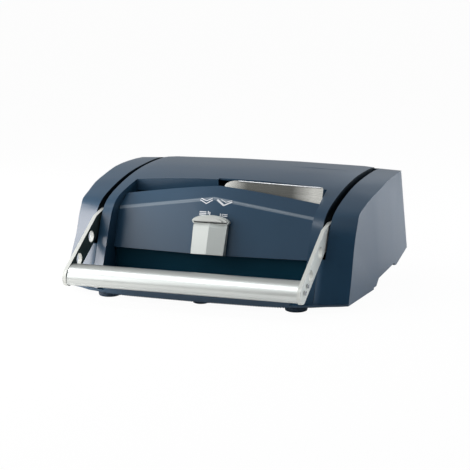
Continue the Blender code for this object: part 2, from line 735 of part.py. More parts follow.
def build_feet():
    """Builds three feet under the front edge and two under the back."""
    build_foot("front_left_foot", -FRONT_FOOT_X, FRONT_FOOT_Y, FRONT_FOOT_RADIUS)
    build_foot("front_right_foot", FRONT_FOOT_X, FRONT_FOOT_Y, FRONT_FOOT_RADIUS)
    build_foot("front_middle_foot", 0, FRONT_FOOT_Y, MIDDLE_FOOT_RADIUS)
    build_foot("rear_left_foot", -REAR_FOOT_X, REAR_FOOT_Y, FRONT_FOOT_RADIUS)
    build_foot("rear_right_foot", REAR_FOOT_X, REAR_FOOT_Y, FRONT_FOOT_RADIUS)


def panel_section(share):
    """Returns one section of the panel: its face, and its back moved in by the wall."""
    low = (1 - abs(share) ** PANEL_GABLE, 1 - abs(share) ** PANEL_CURVE)
    places = (
        (PANEL_END_BOTTOM, PANEL_MIDDLE_BOTTOM, low[0]),
        (PANEL_END_CREASE, PANEL_MIDDLE_CREASE, low[0]),
        (PANEL_END_TOP, PANEL_MIDDLE_TOP, low[1]),
    )
    face = [Vector(end).lerp(Vector(middle), rise) for end, middle, rise in places]
    normals = [Vector((step.y, -step.x)).normalized() for step in (face[1] - face[0], face[2] - face[1])]
    corner = normals[0] + normals[1]
    corner = corner / (corner.length ** 2 / 2)
    backs = [place + way * PANEL_WALL for place, way in zip(face, (normals[0], corner, normals[1]))]
    return [(share * (pocket_half(y) - GAP), y, z) for y, z in face + backs[::-1]]


def build_front_panel():
    """Builds the gable-shaped panel of the pocket, bored for the knob's shaft."""
    panel = loft("front_panel", [panel_section(share) for share in PANEL_STATION_SHARES], "navy_plastic")
    bore = cylinder(
        "front_panel_bore", KNOB_SHAFT_RADIUS + GAP, KNOB_SHAFT_LENGTH, None, SELECTOR_AXIS
    )
    boolean(panel, bore)


def build_lower_fascia():
    """Builds the upright wall below the panel, at the back of the finger space."""
    half = STRIP_INNER_X - GAP
    block(
        "lower_fascia",
        (-half, FASCIA_Y, HOUSING_BOTTOM_Z),
        (half, FASCIA_Y + FASCIA_WALL, FASCIA_TOP_Z),
        "dark_plastic",
    )


def build_frame(name, side):
    """Builds a steel side frame with the hole for its shaft bush."""
    outline = [
        (FRAME_FRONT_Y, HOUSING_BOTTOM_Z),
        (FRAME_BACK_Y, HOUSING_BOTTOM_Z),
        (FRAME_BACK_Y, FRAME_BACK_TOP_Z),
        (FRAME_FOLD_Y, FRAME_BACK_TOP_Z),
        (FRAME_SHOULDER_Y, FRAME_FRONT_TOP_Z),
        (FRAME_FRONT_Y, FRAME_FRONT_TOP_Z),
    ]
    hole = circle(SHAFT_RADIUS + BUSH_WALL + 2 * GAP, (PIVOT_Y, PIVOT_Z))
    x = side * (FRAME_INNER_X + FRAME_THICKNESS / 2)
    outline_plate(name, [outline, hole], FRAME_THICKNESS, "black_steel", PRESS, (x, 0, 0), ACROSS)


def build_fixed_jaw():
    """Builds the front jaw, a beam between the frames with two blind seats for the guide rods."""
    half = FRAME_INNER_X - GAP
    jaw = block(
        "fixed_jaw",
        (-half, JAW_FACE_Y - JAW_THICKNESS, FIXED_JAW_BOTTOM_Z),
        (half, JAW_FACE_Y, JAW_TOP_Z),
        "bright_steel",
    )
    cut_rod_seats(jaw, JAW_FACE_Y)


def cut_rod_seats(beam, face_y):
    """Cuts the two blind holes in which the guide rods sit, on both sides of a face."""
    for side in (-1, 1):
        seat = cylinder(
            beam.name + "_seat", GUIDE_ROD_RADIUS + GAP, 2 * GUIDE_ROD_SEAT + 2 * GAP, None, PRESS,
            (side * GUIDE_ROD_X, face_y, GUIDE_ROD_Z), ALONG_Y,
        )
        boolean(beam, seat)


def build_rear_beam():
    """Builds the cross beam that holds the back ends of the guide rods."""
    half = FRAME_INNER_X - GAP
    beam = block(
        "rear_beam",
        (-half, REAR_BEAM_Y, REAR_BEAM_BOTTOM_Z),
        (half, REAR_BEAM_Y + REAR_BEAM_THICKNESS, REAR_BEAM_TOP_Z),
        "black_steel",
    )
    cut_rod_seats(beam, REAR_BEAM_Y)


def build_spine_bed():
    """Builds the plate on which the book's spine stands, between the jaws."""
    half = FRAME_INNER_X - GAP
    block(
        "spine_bed",
        (-half, JAW_FACE_Y + GAP, BED_TOP_Z - BED_THICKNESS),
        (half, LUG_Y - GAP, BED_TOP_Z),
        "bright_steel",
    )


def build_guide_rod(name, side):
    """Builds a rod along which the moving jaw slides."""
    front = JAW_FACE_Y - GUIDE_ROD_SEAT
    back = REAR_BEAM_Y + GUIDE_ROD_SEAT
    middle = (side * GUIDE_ROD_X, (front + back) / 2, GUIDE_ROD_Z)
    cylinder(name, GUIDE_ROD_RADIUS, back - front, "bright_steel", PRESS, middle, ALONG_Y, SMALL_ROUND_STEPS)


def build_moving_jaw():
    """Builds the rear jaw with the two bored lugs that ride on the guide rods."""
    jaw = block(
        "moving_jaw",
        (-MOVING_JAW_HALF, MOVING_JAW_Y, BED_TOP_Z + GAP),
        (MOVING_JAW_HALF, LUG_Y, JAW_TOP_Z),
        "bright_steel",
    )
    for side in (-1, 1):
        lug = block(
            "moving_jaw_lug",
            (side * GUIDE_ROD_X - LUG_HALF, LUG_Y - JAW_THICKNESS / 2, BED_TOP_Z + OVERRUN),
            (side * GUIDE_ROD_X + LUG_HALF, LUG_Y + LUG_DEPTH, JAW_TOP_Z),
        )
        leg = block(
            "moving_jaw_leg",
            (side * GUIDE_ROD_X - LUG_HALF, LUG_Y + GAP, FIXED_JAW_BOTTOM_Z),
            (side * GUIDE_ROD_X + LUG_HALF, LUG_Y + LUG_DEPTH, JAW_TOP_Z - OVERRUN),
        )
        bore = cylinder(
            "moving_jaw_bore", GUIDE_ROD_RADIUS + GAP, 2 * (LUG_DEPTH + OVERRUN), None, PRESS,
            (side * GUIDE_ROD_X, LUG_Y, GUIDE_ROD_Z), ALONG_Y,
        )
        boolean(jaw, lug, "UNION")
        boolean(jaw, leg, "UNION")
        boolean(jaw, bore)


def build_rack(name, side):
    """Builds a rack that joins the moving jaw to its pinion, teeth down."""
    half_tooth = RACK_PITCH / 4 - BACKLASH / 2
    tip_half = half_tooth - (RACK_PITCH_Z - RACK_TIP_Z) * math.tan(PRESSURE_ANGLE)
    root_half = half_tooth + (RACK_ROOT_Z - RACK_PITCH_Z) * math.tan(PRESSURE_ANGLE)
    front = LUG_Y + GAP
    first = PIVOT_Y - (RACK_AHEAD_COUNT + 0.5) * RACK_PITCH
    teeth = RACK_AHEAD_COUNT + RACK_BEHIND_COUNT + 1
    outline = [(front, RACK_TIP_Z), (first - root_half - RACK_PITCH / 2, RACK_TIP_Z)]
    outline.append((first - root_half - RACK_PITCH / 4, RACK_ROOT_Z))
    for index in range(teeth):
        middle = first + index * RACK_PITCH
        outline.append((middle - root_half, RACK_ROOT_Z))
        outline.append((middle - tip_half, RACK_TIP_Z))
        outline.append((middle + tip_half, RACK_TIP_Z))
        outline.append((middle + root_half, RACK_ROOT_Z))
    back = first + (teeth - 0.5) * RACK_PITCH
    outline += [(back, RACK_ROOT_Z), (back, RACK_TOP_Z), (front, RACK_TOP_Z)]
    x = side * PINION_X
    outline_plate(name, [outline], RACK_WIDTH, "bright_steel", PRESS, (x, 0, 0), ACROSS)


def pinion_outline():
    """Returns the involute outline of the pinion, a tooth pointing straight up."""
    base = PITCH_RADIUS * math.cos(PRESSURE_ANGLE)
    root = PITCH_RADIUS - DEDENDUM_SHARE * GEAR_MODULE
    tip = PITCH_RADIUS + GEAR_MODULE
    half = math.pi / (2 * PINION_TEETH) - BACKLASH / (2 * PITCH_RADIUS)
    half_base = half + math.tan(PRESSURE_ANGLE) - PRESSURE_ANGLE
    flank = [(root, half_base)]
    for step in range(FLANK_STEPS + 1):
        radius = base + (tip - base) * step / FLANK_STEPS
        roll = math.acos(base / radius)
        flank.append((radius, half_base - (math.tan(roll) - roll)))
    points = []
    for index in range(PINION_TEETH):
        middle = math.pi / 2 + 2 * math.pi * index / PINION_TEETH
        for radius, away in flank:
            points.append((radius * math.cos(middle - away), radius * math.sin(middle - away)))
        for radius, away in reversed(flank):
            points.append((radius * math.cos(middle + away), radius * math.sin(middle + away)))
    return points


def build_pinion(name, side):
    """Builds a pinion keyed to the cross shaft."""
    bore = circle(SHAFT_RADIUS + GAP, steps=SMALL_ROUND_STEPS)
    outline_plate(
        name, [pinion_outline(), bore], PINION_WIDTH, "bright_steel", HANDLE_AXIS,
        (side * PINION_X, 0, 0), ACROSS,
    )


def build_shaft():
    """Builds the cross shaft, which turns with the handle."""
    length = 2 * (ARM_INNER_X + ARM_THICKNESS)
    cylinder(
        "cross_shaft", SHAFT_RADIUS, length, "bright_steel", HANDLE_AXIS, (0, 0, 0), ALONG_X,
        SMALL_ROUND_STEPS,
    )


def build_bush(name, side):
    """Builds the flanged bearing bush of one frame."""
    bore = circle(SHAFT_RADIUS + GAP, steps=SMALL_ROUND_STEPS)
    length = FRAME_THICKNESS + GAP + BUSH_FLANGE
    where = (side * (FRAME_INNER_X + length / 2), PIVOT_Y, PIVOT_Z)
    bush = outline_plate(
        name, [circle(SHAFT_RADIUS + BUSH_WALL + GAP), bore], length, "bronze", PRESS, where, ACROSS
    )
    flange_x = side * (FRAME_INNER_X + FRAME_THICKNESS + GAP + BUSH_FLANGE / 2)
    flange = outline_plate(
        name + "_flange", [circle(BUSH_FLANGE_RADIUS), bore], BUSH_FLANGE, None, PRESS,
        (flange_x, PIVOT_Y, PIVOT_Z), ACROSS,
    )
    boolean(bush, flange, "UNION")


def build_spacer(name, side):
    """Builds the tube that keeps an arm clear of its bush."""
    start = FRAME_INNER_X + FRAME_THICKNESS + BUSH_FLANGE + 2 * GAP
    end = ARM_INNER_X - GAP
    outline_plate(
        name, [circle(SPACER_RADIUS), circle(SHAFT_RADIUS + GAP, steps=SMALL_ROUND_STEPS)], end - start,
        "bright_steel", HANDLE_AXIS, (side * (start + end) / 2, 0, 0), ACROSS,
    )


def along_arm(distance, offset):
    """Returns a place by its distance up the arm from the bar's middle and its offset to the front."""
    way = Vector((math.cos(ARM_SLOPE), math.sin(ARM_SLOPE)))
    across = Vector((-math.sin(ARM_SLOPE), math.cos(ARM_SLOPE)))
    start = Vector((BAR_CENTRE_Y - PIVOT_Y, BAR_CENTRE_Z - PIVOT_Z))
    return tuple(start + way * distance + across * offset)


def arm_outline():
    """Returns the outline of an arm about the pivot: hub, long run, bend and the leg to the bar."""
    half = ARM_WIDTH / 2
    end = along_arm(-ARM_END_SHIFT, 0)
    hub = arc((0, 0), ARM_HUB_RADIUS, -math.pi / 2, math.pi / 2, ROUND_STEPS // 2)
    shoulder = (ARM_SHOULDER_Y - PIVOT_Y, ARM_HUB_RADIUS + ARM_SHOULDER_RISE)
    upper = Vector(along_arm(0, half))
    lower = Vector(along_arm(0, -half))
    slope = math.tan(ARM_SLOPE)
    bend_y = ARM_BEND_Y - PIVOT_Y
    bend = (bend_y, upper.y + (bend_y - upper.x) * slope)
    heel = (lower.x + (-ARM_HUB_RADIUS - lower.y) / slope, -ARM_HUB_RADIUS)
    start = math.pi / 2 + ARM_SLOPE
    round_end = arc(end, half, start, start + math.pi, ROUND_STEPS // 2)
    return hub + [shoulder, bend] + round_end + [heel]


def build_arm(name, side):
    """Builds a flat arm with its two round holes, its screw holes and its hub bore."""
    holes = [
        circle(ARM_HOLE_RADIUS, along_arm(distance, 0)) for distance in ARM_HOLE_DISTANCES
    ]
    holes += [
        circle(SCREW_SHANK_RADIUS + GAP, along_arm(distance, 0), SMALL_ROUND_STEPS)
        for distance in BAR_SCREW_PLACES
    ]
    holes.append(circle(SHAFT_RADIUS + GAP, steps=SMALL_ROUND_STEPS))
    x = side * (ARM_INNER_X + ARM_THICKNESS / 2)
    outline_plate(
        name, [arm_outline()] + holes, ARM_THICKNESS, "satin_aluminium", HANDLE_AXIS, (x, 0, 0), ACROSS
    )


def build_bar():
    """Builds the oval handle bar, an extrusion with two round channels and two screw channels."""
    outer = ellipse(BAR_HALF_LONG, BAR_HALF_SHORT, ARM_SLOPE, ROUND_STEPS + SMALL_ROUND_STEPS)
    way = Vector((math.cos(ARM_SLOPE), math.sin(ARM_SLOPE)))
    bores = [
        circle(radius, way * distance, SMALL_ROUND_STEPS)
        for distance, radius in zip(BAR_BORE_PLACES, BAR_BORE_RADII)
    ]
    bores += [
        circle(SCREW_SHANK_RADIUS + GAP, way * distance, SMALL_ROUND_STEPS) for distance in BAR_SCREW_PLACES
    ]
    length = 2 * (ARM_INNER_X - GAP)
    place = (0, BAR_CENTRE_Y - PIVOT_Y, BAR_CENTRE_Z - PIVOT_Z)
    outline_plate(
        "handle_bar", [outer] + bores, length, "satin_aluminium", HANDLE_AXIS, place, ACROSS
    )


def build_bar_screw(name, side, distance):
    """Builds a screw that holds the bar to an arm."""
    y, z = along_arm(distance, 0)
    face = ARM_INNER_X + ARM_THICKNESS
    head = cylinder(
        name, SCREW_HEAD_RADIUS, SCREW_HEAD_HEIGHT, "bright_steel", HANDLE_AXIS,
        (side * (face + GAP + SCREW_HEAD_HEIGHT / 2), y, z), ALONG_X, SMALL_ROUND_STEPS,
    )
    length = BAR_SCREW_DEPTH + ARM_THICKNESS + SCREW_HEAD_HEIGHT / 2
    shank = cylinder(
        name + "_shank", SCREW_SHANK_RADIUS, length, None, HANDLE_AXIS,
        (side * (face + SCREW_HEAD_HEIGHT / 2 - length / 2), y, z), ALONG_X, SMALL_ROUND_STEPS,
    )
    boolean(head, shank, "UNION")


def build_hub_screw(name, side):
    """Builds the flat screw that holds an arm on the end of the shaft."""
    x = side * (ARM_INNER_X + ARM_THICKNESS + GAP + HUB_SCREW_HEIGHT / 2)
    cylinder(name, HUB_SCREW_RADIUS, HUB_SCREW_HEIGHT, "bright_steel", HANDLE_AXIS, (x, 0, 0), ALONG_X)


def selector_frame():
    """Returns where the knob's axis leaves the panel, and how far the panel leans back."""
    run = Vector(PANEL_MIDDLE_CREASE) - Vector(PANEL_MIDDLE_BOTTOM)
    share = (KNOB_CENTRE_Z - PANEL_MIDDLE_BOTTOM[1]) / run.y
    y = PANEL_MIDDLE_BOTTOM[0] + share * run.x
    lean = math.atan2(run.x, run.y)
    return (0, y, KNOB_CENTRE_Z), (math.pi / 2 - lean, 0, 0)


SELECTOR_PLACE, SELECTOR_TURN = selector_frame()
SELECTOR_AXIS = new_empty("selector_axis", SELECTOR_PLACE, SELECTOR_TURN, PRESS)


def build_knob():
    """Builds the selector knob: hub, domed collar and a two-faced grip that swells to its lower end."""
    knob = cylinder(
        "selector_knob", KNOB_HUB_RADIUS, GRIP_TOP_EDGE_HEIGHT - GAP, "knob_grey", SELECTOR_AXIS,
        (0, 0, (GAP + GRIP_TOP_EDGE_HEIGHT) / 2),
    )
    dome = arc((0, 0), 1, 0, math.pi, ROUND_STEPS // 2)
    rim = [(x * COLLAR_HALF_WIDTH, COLLAR_RISE + y * COLLAR_HALF_HEIGHT) for x, y in dome]
    rim += [(-GRIP_TOP_HALF, GRIP_TOP - OVERRUN), (GRIP_TOP_HALF, GRIP_TOP - OVERRUN)]
    collar = outline_plate(
        "selector_knob_collar", [rim], COLLAR_HEIGHT, None, SELECTOR_AXIS, (0, 0, GAP + COLLAR_HEIGHT / 2)
    )
    bevel(collar, KNOB_BEVEL)

    def section(y, half, edge_height, ridge_height):
        top = [(half, y, GAP + edge_height), (0, y, GAP + ridge_height), (-half, y, GAP + edge_height)]
        return [(-half, y, GAP), (half, y, GAP)] + top

    grip = loft(
        "selector_knob_grip",
        [
            section(GRIP_TOP, GRIP_TOP_HALF, GRIP_TOP_EDGE_HEIGHT, GRIP_TOP_RIDGE_HEIGHT),
            section(GRIP_SHOULDER, GRIP_TOP_HALF, GRIP_SHOULDER_EDGE_HEIGHT, GRIP_SHOULDER_RIDGE_HEIGHT),
            section(-GRIP_BOTTOM, GRIP_BOTTOM_HALF, GRIP_BOTTOM_EDGE_HEIGHT, GRIP_BOTTOM_RIDGE_HEIGHT),
        ],
        None,
        SELECTOR_AXIS,
    )
    boolean(knob, collar, "UNION")
    boolean(knob, grip, "UNION")


def build_selector_shaft():
    """Builds the knob's shaft and the crank on its inner end."""
    cylinder(
        "selector_shaft", KNOB_SHAFT_RADIUS, KNOB_SHAFT_LENGTH, "bright_steel", SELECTOR_AXIS,
        (0, 0, -KNOB_SHAFT_LENGTH / 2), steps=SMALL_ROUND_STEPS,
    )
    top = arc((0, 0), CRANK_HUB_RADIUS, 0, math.pi, SMALL_ROUND_STEPS // 2)
    bottom = arc((0, -CRANK_THROW), CRANK_END_RADIUS, math.pi, 2 * math.pi, SMALL_ROUND_STEPS // 2)
    depth = KNOB_SHAFT_LENGTH + GAP + CRANK_THICKNESS / 2
    crank = outline_plate(
        "selector_crank", [top + bottom], CRANK_THICKNESS, "bright_steel", SELECTOR_AXIS, (0, 0, -depth)
    )
    pin_depth = depth + CRANK_PIN_LENGTH / 2
    pin = cylinder(
        "selector_crank_pin", CRANK_PIN_RADIUS, CRANK_PIN_LENGTH, None, SELECTOR_AXIS,
        (0, -CRANK_THROW, -pin_depth), steps=SMALL_ROUND_STEPS,
    )
    boolean(crank, pin, "UNION")


def build_mode_slide():
    """Builds the bar that the crank's pin pushes left and right."""
    slide = block(
        "mode_slide",
        (-SLIDE_HALF, SLIDE_FRONT_Y, SLIDE_BOTTOM_Z),
        (SLIDE_HALF, SLIDE_FRONT_Y + SLIDE_THICKNESS, SLIDE_TOP_Z),
        "dark_plastic",
    )
    slot_half = CRANK_PIN_RADIUS + SLIDE_SLOT_CLEARANCE
    slot = block(
        "mode_slide_slot",
        (-slot_half, SLIDE_FRONT_Y - OVERRUN, SLIDE_SLOT_BOTTOM_Z),
        (slot_half, SLIDE_FRONT_Y + SLIDE_THICKNESS + OVERRUN, SLIDE_SLOT_TOP_Z),
    )
    boolean(slide, slot)


def build_slide_guide(name, side):
    """Builds a guide on the fixed jaw, with the ledge on which the mode slide runs."""
    near, far = sorted((side * GUIDE_X, side * (GUIDE_X + GUIDE_WIDTH)))
    back = JAW_FACE_Y - JAW_THICKNESS - GAP
    guide = block(
        name,
        (near, SLIDE_FRONT_Y + SLIDE_THICKNESS + GAP, SLIDE_BOTTOM_Z - GAP - GUIDE_LEDGE),
        (far, back, SLIDE_TOP_Z + GUIDE_RISE),
        "black_steel",
    )
    ledge = block(
        name + "_ledge",
        (near, SLIDE_FRONT_Y, SLIDE_BOTTOM_Z - GAP - GUIDE_LEDGE),
        (far, back, SLIDE_BOTTOM_Z - GAP),
    )
    boolean(guide, ledge, "UNION")


def build_guide_plate():
    """Builds the leaning metal plate at the front of the slot, with its foot on the fixed jaw."""
    bottom = JAW_TOP_Z + GAP
    height = (PLATE_TOP_Z - bottom) / math.cos(PLATE_LEAN)
    left, right = PLATE_LEFT_X, PLATE_RIGHT_X
    right_top = height - PLATE_FALL
    outline = [(left, 0), (right, 0)]
    corner = (right - PLATE_CORNER, right_top - PLATE_CORNER)
    outline += arc(corner, PLATE_CORNER, 0, math.pi / 2, PLATE_CORNER_STEPS)
    sweep = arc((0, 0), 1, math.pi / 2, math.pi, PLATE_CORNER_STEPS)
    sweep_middle = (left + PLATE_SWEEP, height - PLATE_SWEEP_HEIGHT)
    outline += [
        (sweep_middle[0] + x * PLATE_SWEEP, sweep_middle[1] + y * PLATE_SWEEP_HEIGHT) for x, y in sweep
    ]
    plate = outline_plate(
        "guide_plate", [outline], PLATE_THICKNESS, "plate_steel", PRESS,
        (0, PLATE_FRONT_Y + PLATE_THICKNESS / 2, bottom + PLATE_THICKNESS / 2),
        (math.pi / 2 - PLATE_LEAN, 0, 0),
    )
    foot = block(
        "guide_plate_foot",
        (left, PLATE_FRONT_Y, bottom),
        (right, PLATE_FRONT_Y + PLATE_FOOT_DEPTH, bottom + PLATE_THICKNESS),
    )
    boolean(plate, foot, "UNION")


def build_all():
    """Builds every piece of the press."""
    build_base_pan()
    build_feet()
    build_centre_cover()
    build_front_panel()
    build_lower_fascia()
    build_fixed_jaw()
    build_rear_beam()
    build_spine_bed()
    build_moving_jaw()
    build_shaft()
    build_bar()
    build_knob()
    build_selector_shaft()
    build_mode_slide()
    build_guide_plate()
    for word, side in (("left", -1), ("right", 1)):
        build_side_cover(word + "_side_cover", side)
        build_frame(word + "_frame", side)
        build_guide_rod(word + "_guide_rod", side)
        build_rack(word + "_rack", side)
        build_pinion(word + "_pinion", side)
        build_bush(word + "_shaft_bush", side)
        build_spacer(word + "_shaft_spacer", side)
        build_arm(word + "_handle_arm", side)
        build_hub_screw(word + "_hub_screw", side)
        build_slide_guide(word + "_slide_guide", side)
        for place, distance in zip(("upper", "lower"), BAR_SCREW_PLACES):
            build_bar_screw(f"{word}_{place}_bar_screw", side, distance)


build_all()
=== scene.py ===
"""Looks of a lever-operated book binding press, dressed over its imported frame."""

import json
import logging
import math
from dataclasses import dataclass, field
from enum import Enum
from typing import Callable, Sequence

import bmesh
import bpy
from mathutils import Matrix, Vector
from mathutils.bvhtree import BVHTree


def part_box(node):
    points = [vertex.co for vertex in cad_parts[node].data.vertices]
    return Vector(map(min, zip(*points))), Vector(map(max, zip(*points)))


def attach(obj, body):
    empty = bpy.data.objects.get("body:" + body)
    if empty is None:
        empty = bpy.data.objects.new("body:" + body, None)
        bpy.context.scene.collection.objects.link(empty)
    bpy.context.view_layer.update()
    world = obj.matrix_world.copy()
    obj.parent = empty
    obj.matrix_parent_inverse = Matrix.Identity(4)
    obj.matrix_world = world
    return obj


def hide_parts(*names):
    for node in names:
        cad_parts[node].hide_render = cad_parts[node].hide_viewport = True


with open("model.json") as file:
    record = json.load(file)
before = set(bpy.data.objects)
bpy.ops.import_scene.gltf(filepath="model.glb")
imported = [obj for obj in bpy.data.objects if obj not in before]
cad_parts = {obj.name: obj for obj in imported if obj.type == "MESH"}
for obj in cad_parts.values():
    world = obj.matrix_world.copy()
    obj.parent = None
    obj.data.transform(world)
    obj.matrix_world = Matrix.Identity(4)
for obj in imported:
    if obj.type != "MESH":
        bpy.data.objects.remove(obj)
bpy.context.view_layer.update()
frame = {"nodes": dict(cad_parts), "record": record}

log = logging.getLogger("press")

Colour = tuple[float, float, float]
Value = object

ORIGIN = Vector((0.0, 0.0, 0.0))
BLACK = (0.004, 0.004, 0.004, 1.0)
WHITE = (1.0, 1.0, 1.0, 1.0)

WELD_GAP = 0.000004
FLAT_TURN = math.radians(0.6)
SHARP_TURN = math.radians(40)
EDGE_TURN = math.radians(32)

GROOVE_INNER_X = 0.1675
GROOVE_OUTER_X = 0.1780
SIDEWAYS_LEAST = 0.6
SQUARE_LEAST = 0.9
SELECTOR_JOINT = next(j for j in frame["record"]["behaviour"]["joints"] if j["name"] == "selector_hinge")


class Grain(Enum):
    """The way that a brushed metal's lines run, as their fineness along each axis."""

    ACROSS_PRESS = (6.0, 900.0, 900.0)
    ALONG_ARM = (900.0, 30.0, 60.0)
    NONE = (260.0, 260.0, 260.0)


def tone(colour: Colour, share: float) -> Colour:
    """Returns a colour made lighter or darker by a share."""
    return tuple(min(1.0, part * share) for part in colour)


class Signal:
    """A number's socket in a node tree, which takes part in sums."""

    def __init__(self, tree: "Tree", socket: bpy.types.NodeSocket) -> None:
        """Keeps the node tree and the output that carries the number."""
        self.tree = tree
        self.socket = socket

    def _with(self, operation: str, first: Value, second: Value) -> "Signal":
        """Returns the result of one Math node."""
        made = self.tree.node("ShaderNodeMath", {"operation": operation}, {0: first, 1: second})
        return Signal(self.tree, made.outputs[0])

    def __add__(self, other: Value) -> "Signal":
        """Adds."""
        return self._with("ADD", self, other)

    def __radd__(self, other: Value) -> "Signal":
        """Adds, reflected."""
        return self._with("ADD", other, self)

    def __sub__(self, other: Value) -> "Signal":
        """Subtracts."""
        return self._with("SUBTRACT", self, other)

    def __rsub__(self, other: Value) -> "Signal":
        """Subtracts, reflected."""
        return self._with("SUBTRACT", other, self)

    def __mul__(self, other: Value) -> "Signal":
        """Multiplies."""
        return self._with("MULTIPLY", self, other)

    def __rmul__(self, other: Value) -> "Signal":
        """Multiplies, reflected."""
        return self._with("MULTIPLY", other, self)

    def __abs__(self) -> "Signal":
        """Returns the number without its sign."""
        return self._with("ABSOLUTE", self, 0.0)

    def limited(self) -> "Signal":
        """Returns the number held between 0 and 1."""
        made = self.tree.node("ShaderNodeClamp", {}, {"Value": self})
        return Signal(self.tree, made.outputs[0])


class Tree:
    """A node tree, to which nodes are added by one method."""

    def __init__(self, tree: bpy.types.NodeTree) -> None:
        """Keeps Blender's own node tree."""
        self.tree = tree

    def found(self, kind: str) -> bpy.types.Node:
        """Returns the tree's first node of a type."""
        return next(node for node in self.tree.nodes if node.type == kind)

    def node(self, kind: str, settings: dict[str, Value], sockets: dict[int | str, Value]) -> bpy.types.Node:
        """Adds one node.

        Args:
            kind: The node's type.
            settings: Its own settings, set first.
            sockets: A value or a link for each input.

        Returns:
            The new node.
        """
        made = self.tree.nodes.new(kind)
        for key, value in settings.items():
            setattr(made, key, value)
        for key, value in sockets.items():
            self.feed(made.inputs[key], value)
        return made

    def feed(self, socket: bpy.types.NodeSocket, value: Value) -> None:
        """Gives an input its value or its link.

        Args:
            socket: The input.
            value: A plain value, a Signal or an output socket.
        """
        if isinstance(value, Signal):
            value = value.socket
        if isinstance(value, bpy.types.NodeSocket):
            self.tree.links.new(value, socket)
        else:
            socket.default_value = value

    def by_ray(self, straight: float, mirrored: float, other: float) -> Signal:
        """Returns a number by the kind of ray that meets the surround or the floor.

        Args:
            straight: The number for a camera ray.
            mirrored: The number for a ray mirrored by the press or passing through it.
            other: The number for any other ray.

        Returns:
            The number.
        """
        path = self.node("ShaderNodeLightPath", {}, {})
        total = other
        for word, value in (
            ("Is Camera Ray", straight),
            ("Is Glossy Ray", mirrored),
            ("Is Transmission Ray", mirrored),
        ):
            total = Signal(self, path.outputs[word]) * (value - other) + total
        return total


class Nodes(Tree):
    """The node tree of one material, with its Principled shader."""

    cloud_scale: float = 14.0
    brush_detail: float = 3.0
    brush_rough: float = 0.6

    def __init__(self, name: str) -> None:
        """Starts a material.

        Args:
            name: The material's name.
        """
        self.material = bpy.data.materials.new(name)
        self.material.use_nodes = True
        super().__init__(self.material.node_tree)
        self.shader = self.found("BSDF_PRINCIPLED")

    def set(self, **values: Value) -> None:
        """Gives the shader's own inputs, named with underscores, their values or links."""
        for key, value in values.items():
            self.feed(self.shader.inputs[key.replace("_", " ")], value)

    def place(self) -> bpy.types.NodeSocket:
        """Returns the object's own coordinates."""
        return self.node("ShaderNodeTexCoord", {}, {}).outputs["Object"]

    def across(self) -> Signal:
        """Returns how far right of the press's middle a point lies, in metres."""
        return Signal(self, self.node("ShaderNodeSeparateXYZ", {}, {"Vector": self.place()}).outputs["X"])

    def noise(self, scale: float | Sequence[float], detail: float = 2.0, rough: float = 0.5) -> Signal:
        """Returns a noise between 0 and 1.

        Args:
            scale: Its fineness per metre, the same all ways or along each axis.
            detail: How many finer layers it has.
            rough: How much the finer layers count.

        Returns:
            The noise.
        """
        scales = (scale,) * 3 if isinstance(scale, float) else tuple(scale)
        stretched = self.node("ShaderNodeVectorMath", {"operation": "MULTIPLY"}, {0: self.place(), 1: scales})
        made = self.node(
            "ShaderNodeTexNoise",
            {"noise_dimensions": "3D"},
            {"Vector": stretched.outputs[0], "Scale": 1.0, "Detail": detail, "Roughness": rough},
        )
        return Signal(self, made.outputs[0])

    def brushed(self, grain: Grain) -> Signal:
        """Returns the lines of brushed metal, between 0 and 1."""
        return self.noise(grain.value, self.brush_detail, self.brush_rough)

    def clouds(self) -> Signal:
        """Returns the wide, soft unevenness of handled metal, between 0 and 1."""
        return self.noise(self.cloud_scale)

    def blend(self, factor: Value, first: Colour, second: Colour) -> bpy.types.NodeSocket:
        """Returns a mix of two colours.

        Args:
            factor: The share of the second colour.
            first: The first colour.
            second: The second colour.

        Returns:
            The output that carries the mix.
        """
        made = self.node(
            "ShaderNodeMix",
            {"data_type": "RGBA"},
            {0: factor, 6: (*first, 1.0), 7: (*second, 1.0)},
        )
        return made.outputs[2]

    def shades(self, factor: Value, colour: Colour, darkest: float, lightest: float) -> bpy.types.NodeSocket:
        """Returns a mix of two shades of one colour, given as shares of it."""
        return self.blend(factor, tone(colour, darkest), tone(colour, lightest))

    def bump(self, height: Signal, strength: float, depth: float) -> None:
        """Gives the shader a bump from a height."""
        made = self.node("ShaderNodeBump", {}, {"Strength": strength, "Distance": depth, "Height": height})
        self.set(Normal=made.outputs[0])


@dataclass(frozen=True)
class MouldedPlastic:
    """Moulded plastic: a faint mottle and the fine grain of an eroded mould."""

    name: str
    colour: Colour
    roughness: float
    specular: float = 0.3
    grain: float = 0.10
    grain_scale: float = 1500.0
    grain_detail: float = 2.0
    grain_rough: float = 0.6
    grain_depth: float = 0.0002
    grain_dulling: float = 0.10
    mottle: float = 0.08
    mottle_scale: float = 22.0
    mottle_detail: float = 3.0
    mottle_dulling: float = 0.04

    def make(self) -> bpy.types.Material:
        """Makes the material.

        Returns:
            The material.
        """
        nodes = Nodes(self.name)
        mottle = nodes.noise(self.mottle_scale, self.mottle_detail)
        grain = nodes.noise(self.grain_scale, self.grain_detail, self.grain_rough)
        base = self.roughness - (self.grain_dulling + self.mottle_dulling) / 2
        nodes.set(
            Base_Color=nodes.shades(mottle, self.colour, 1.0 - self.mottle, 1.0 + self.mottle),
            Roughness=grain * self.grain_dulling + mottle * self.mottle_dulling + base,
            Specular_IOR_Level=self.specular,
        )
        nodes.bump(grain, self.grain, self.grain_depth)
        return nodes.material


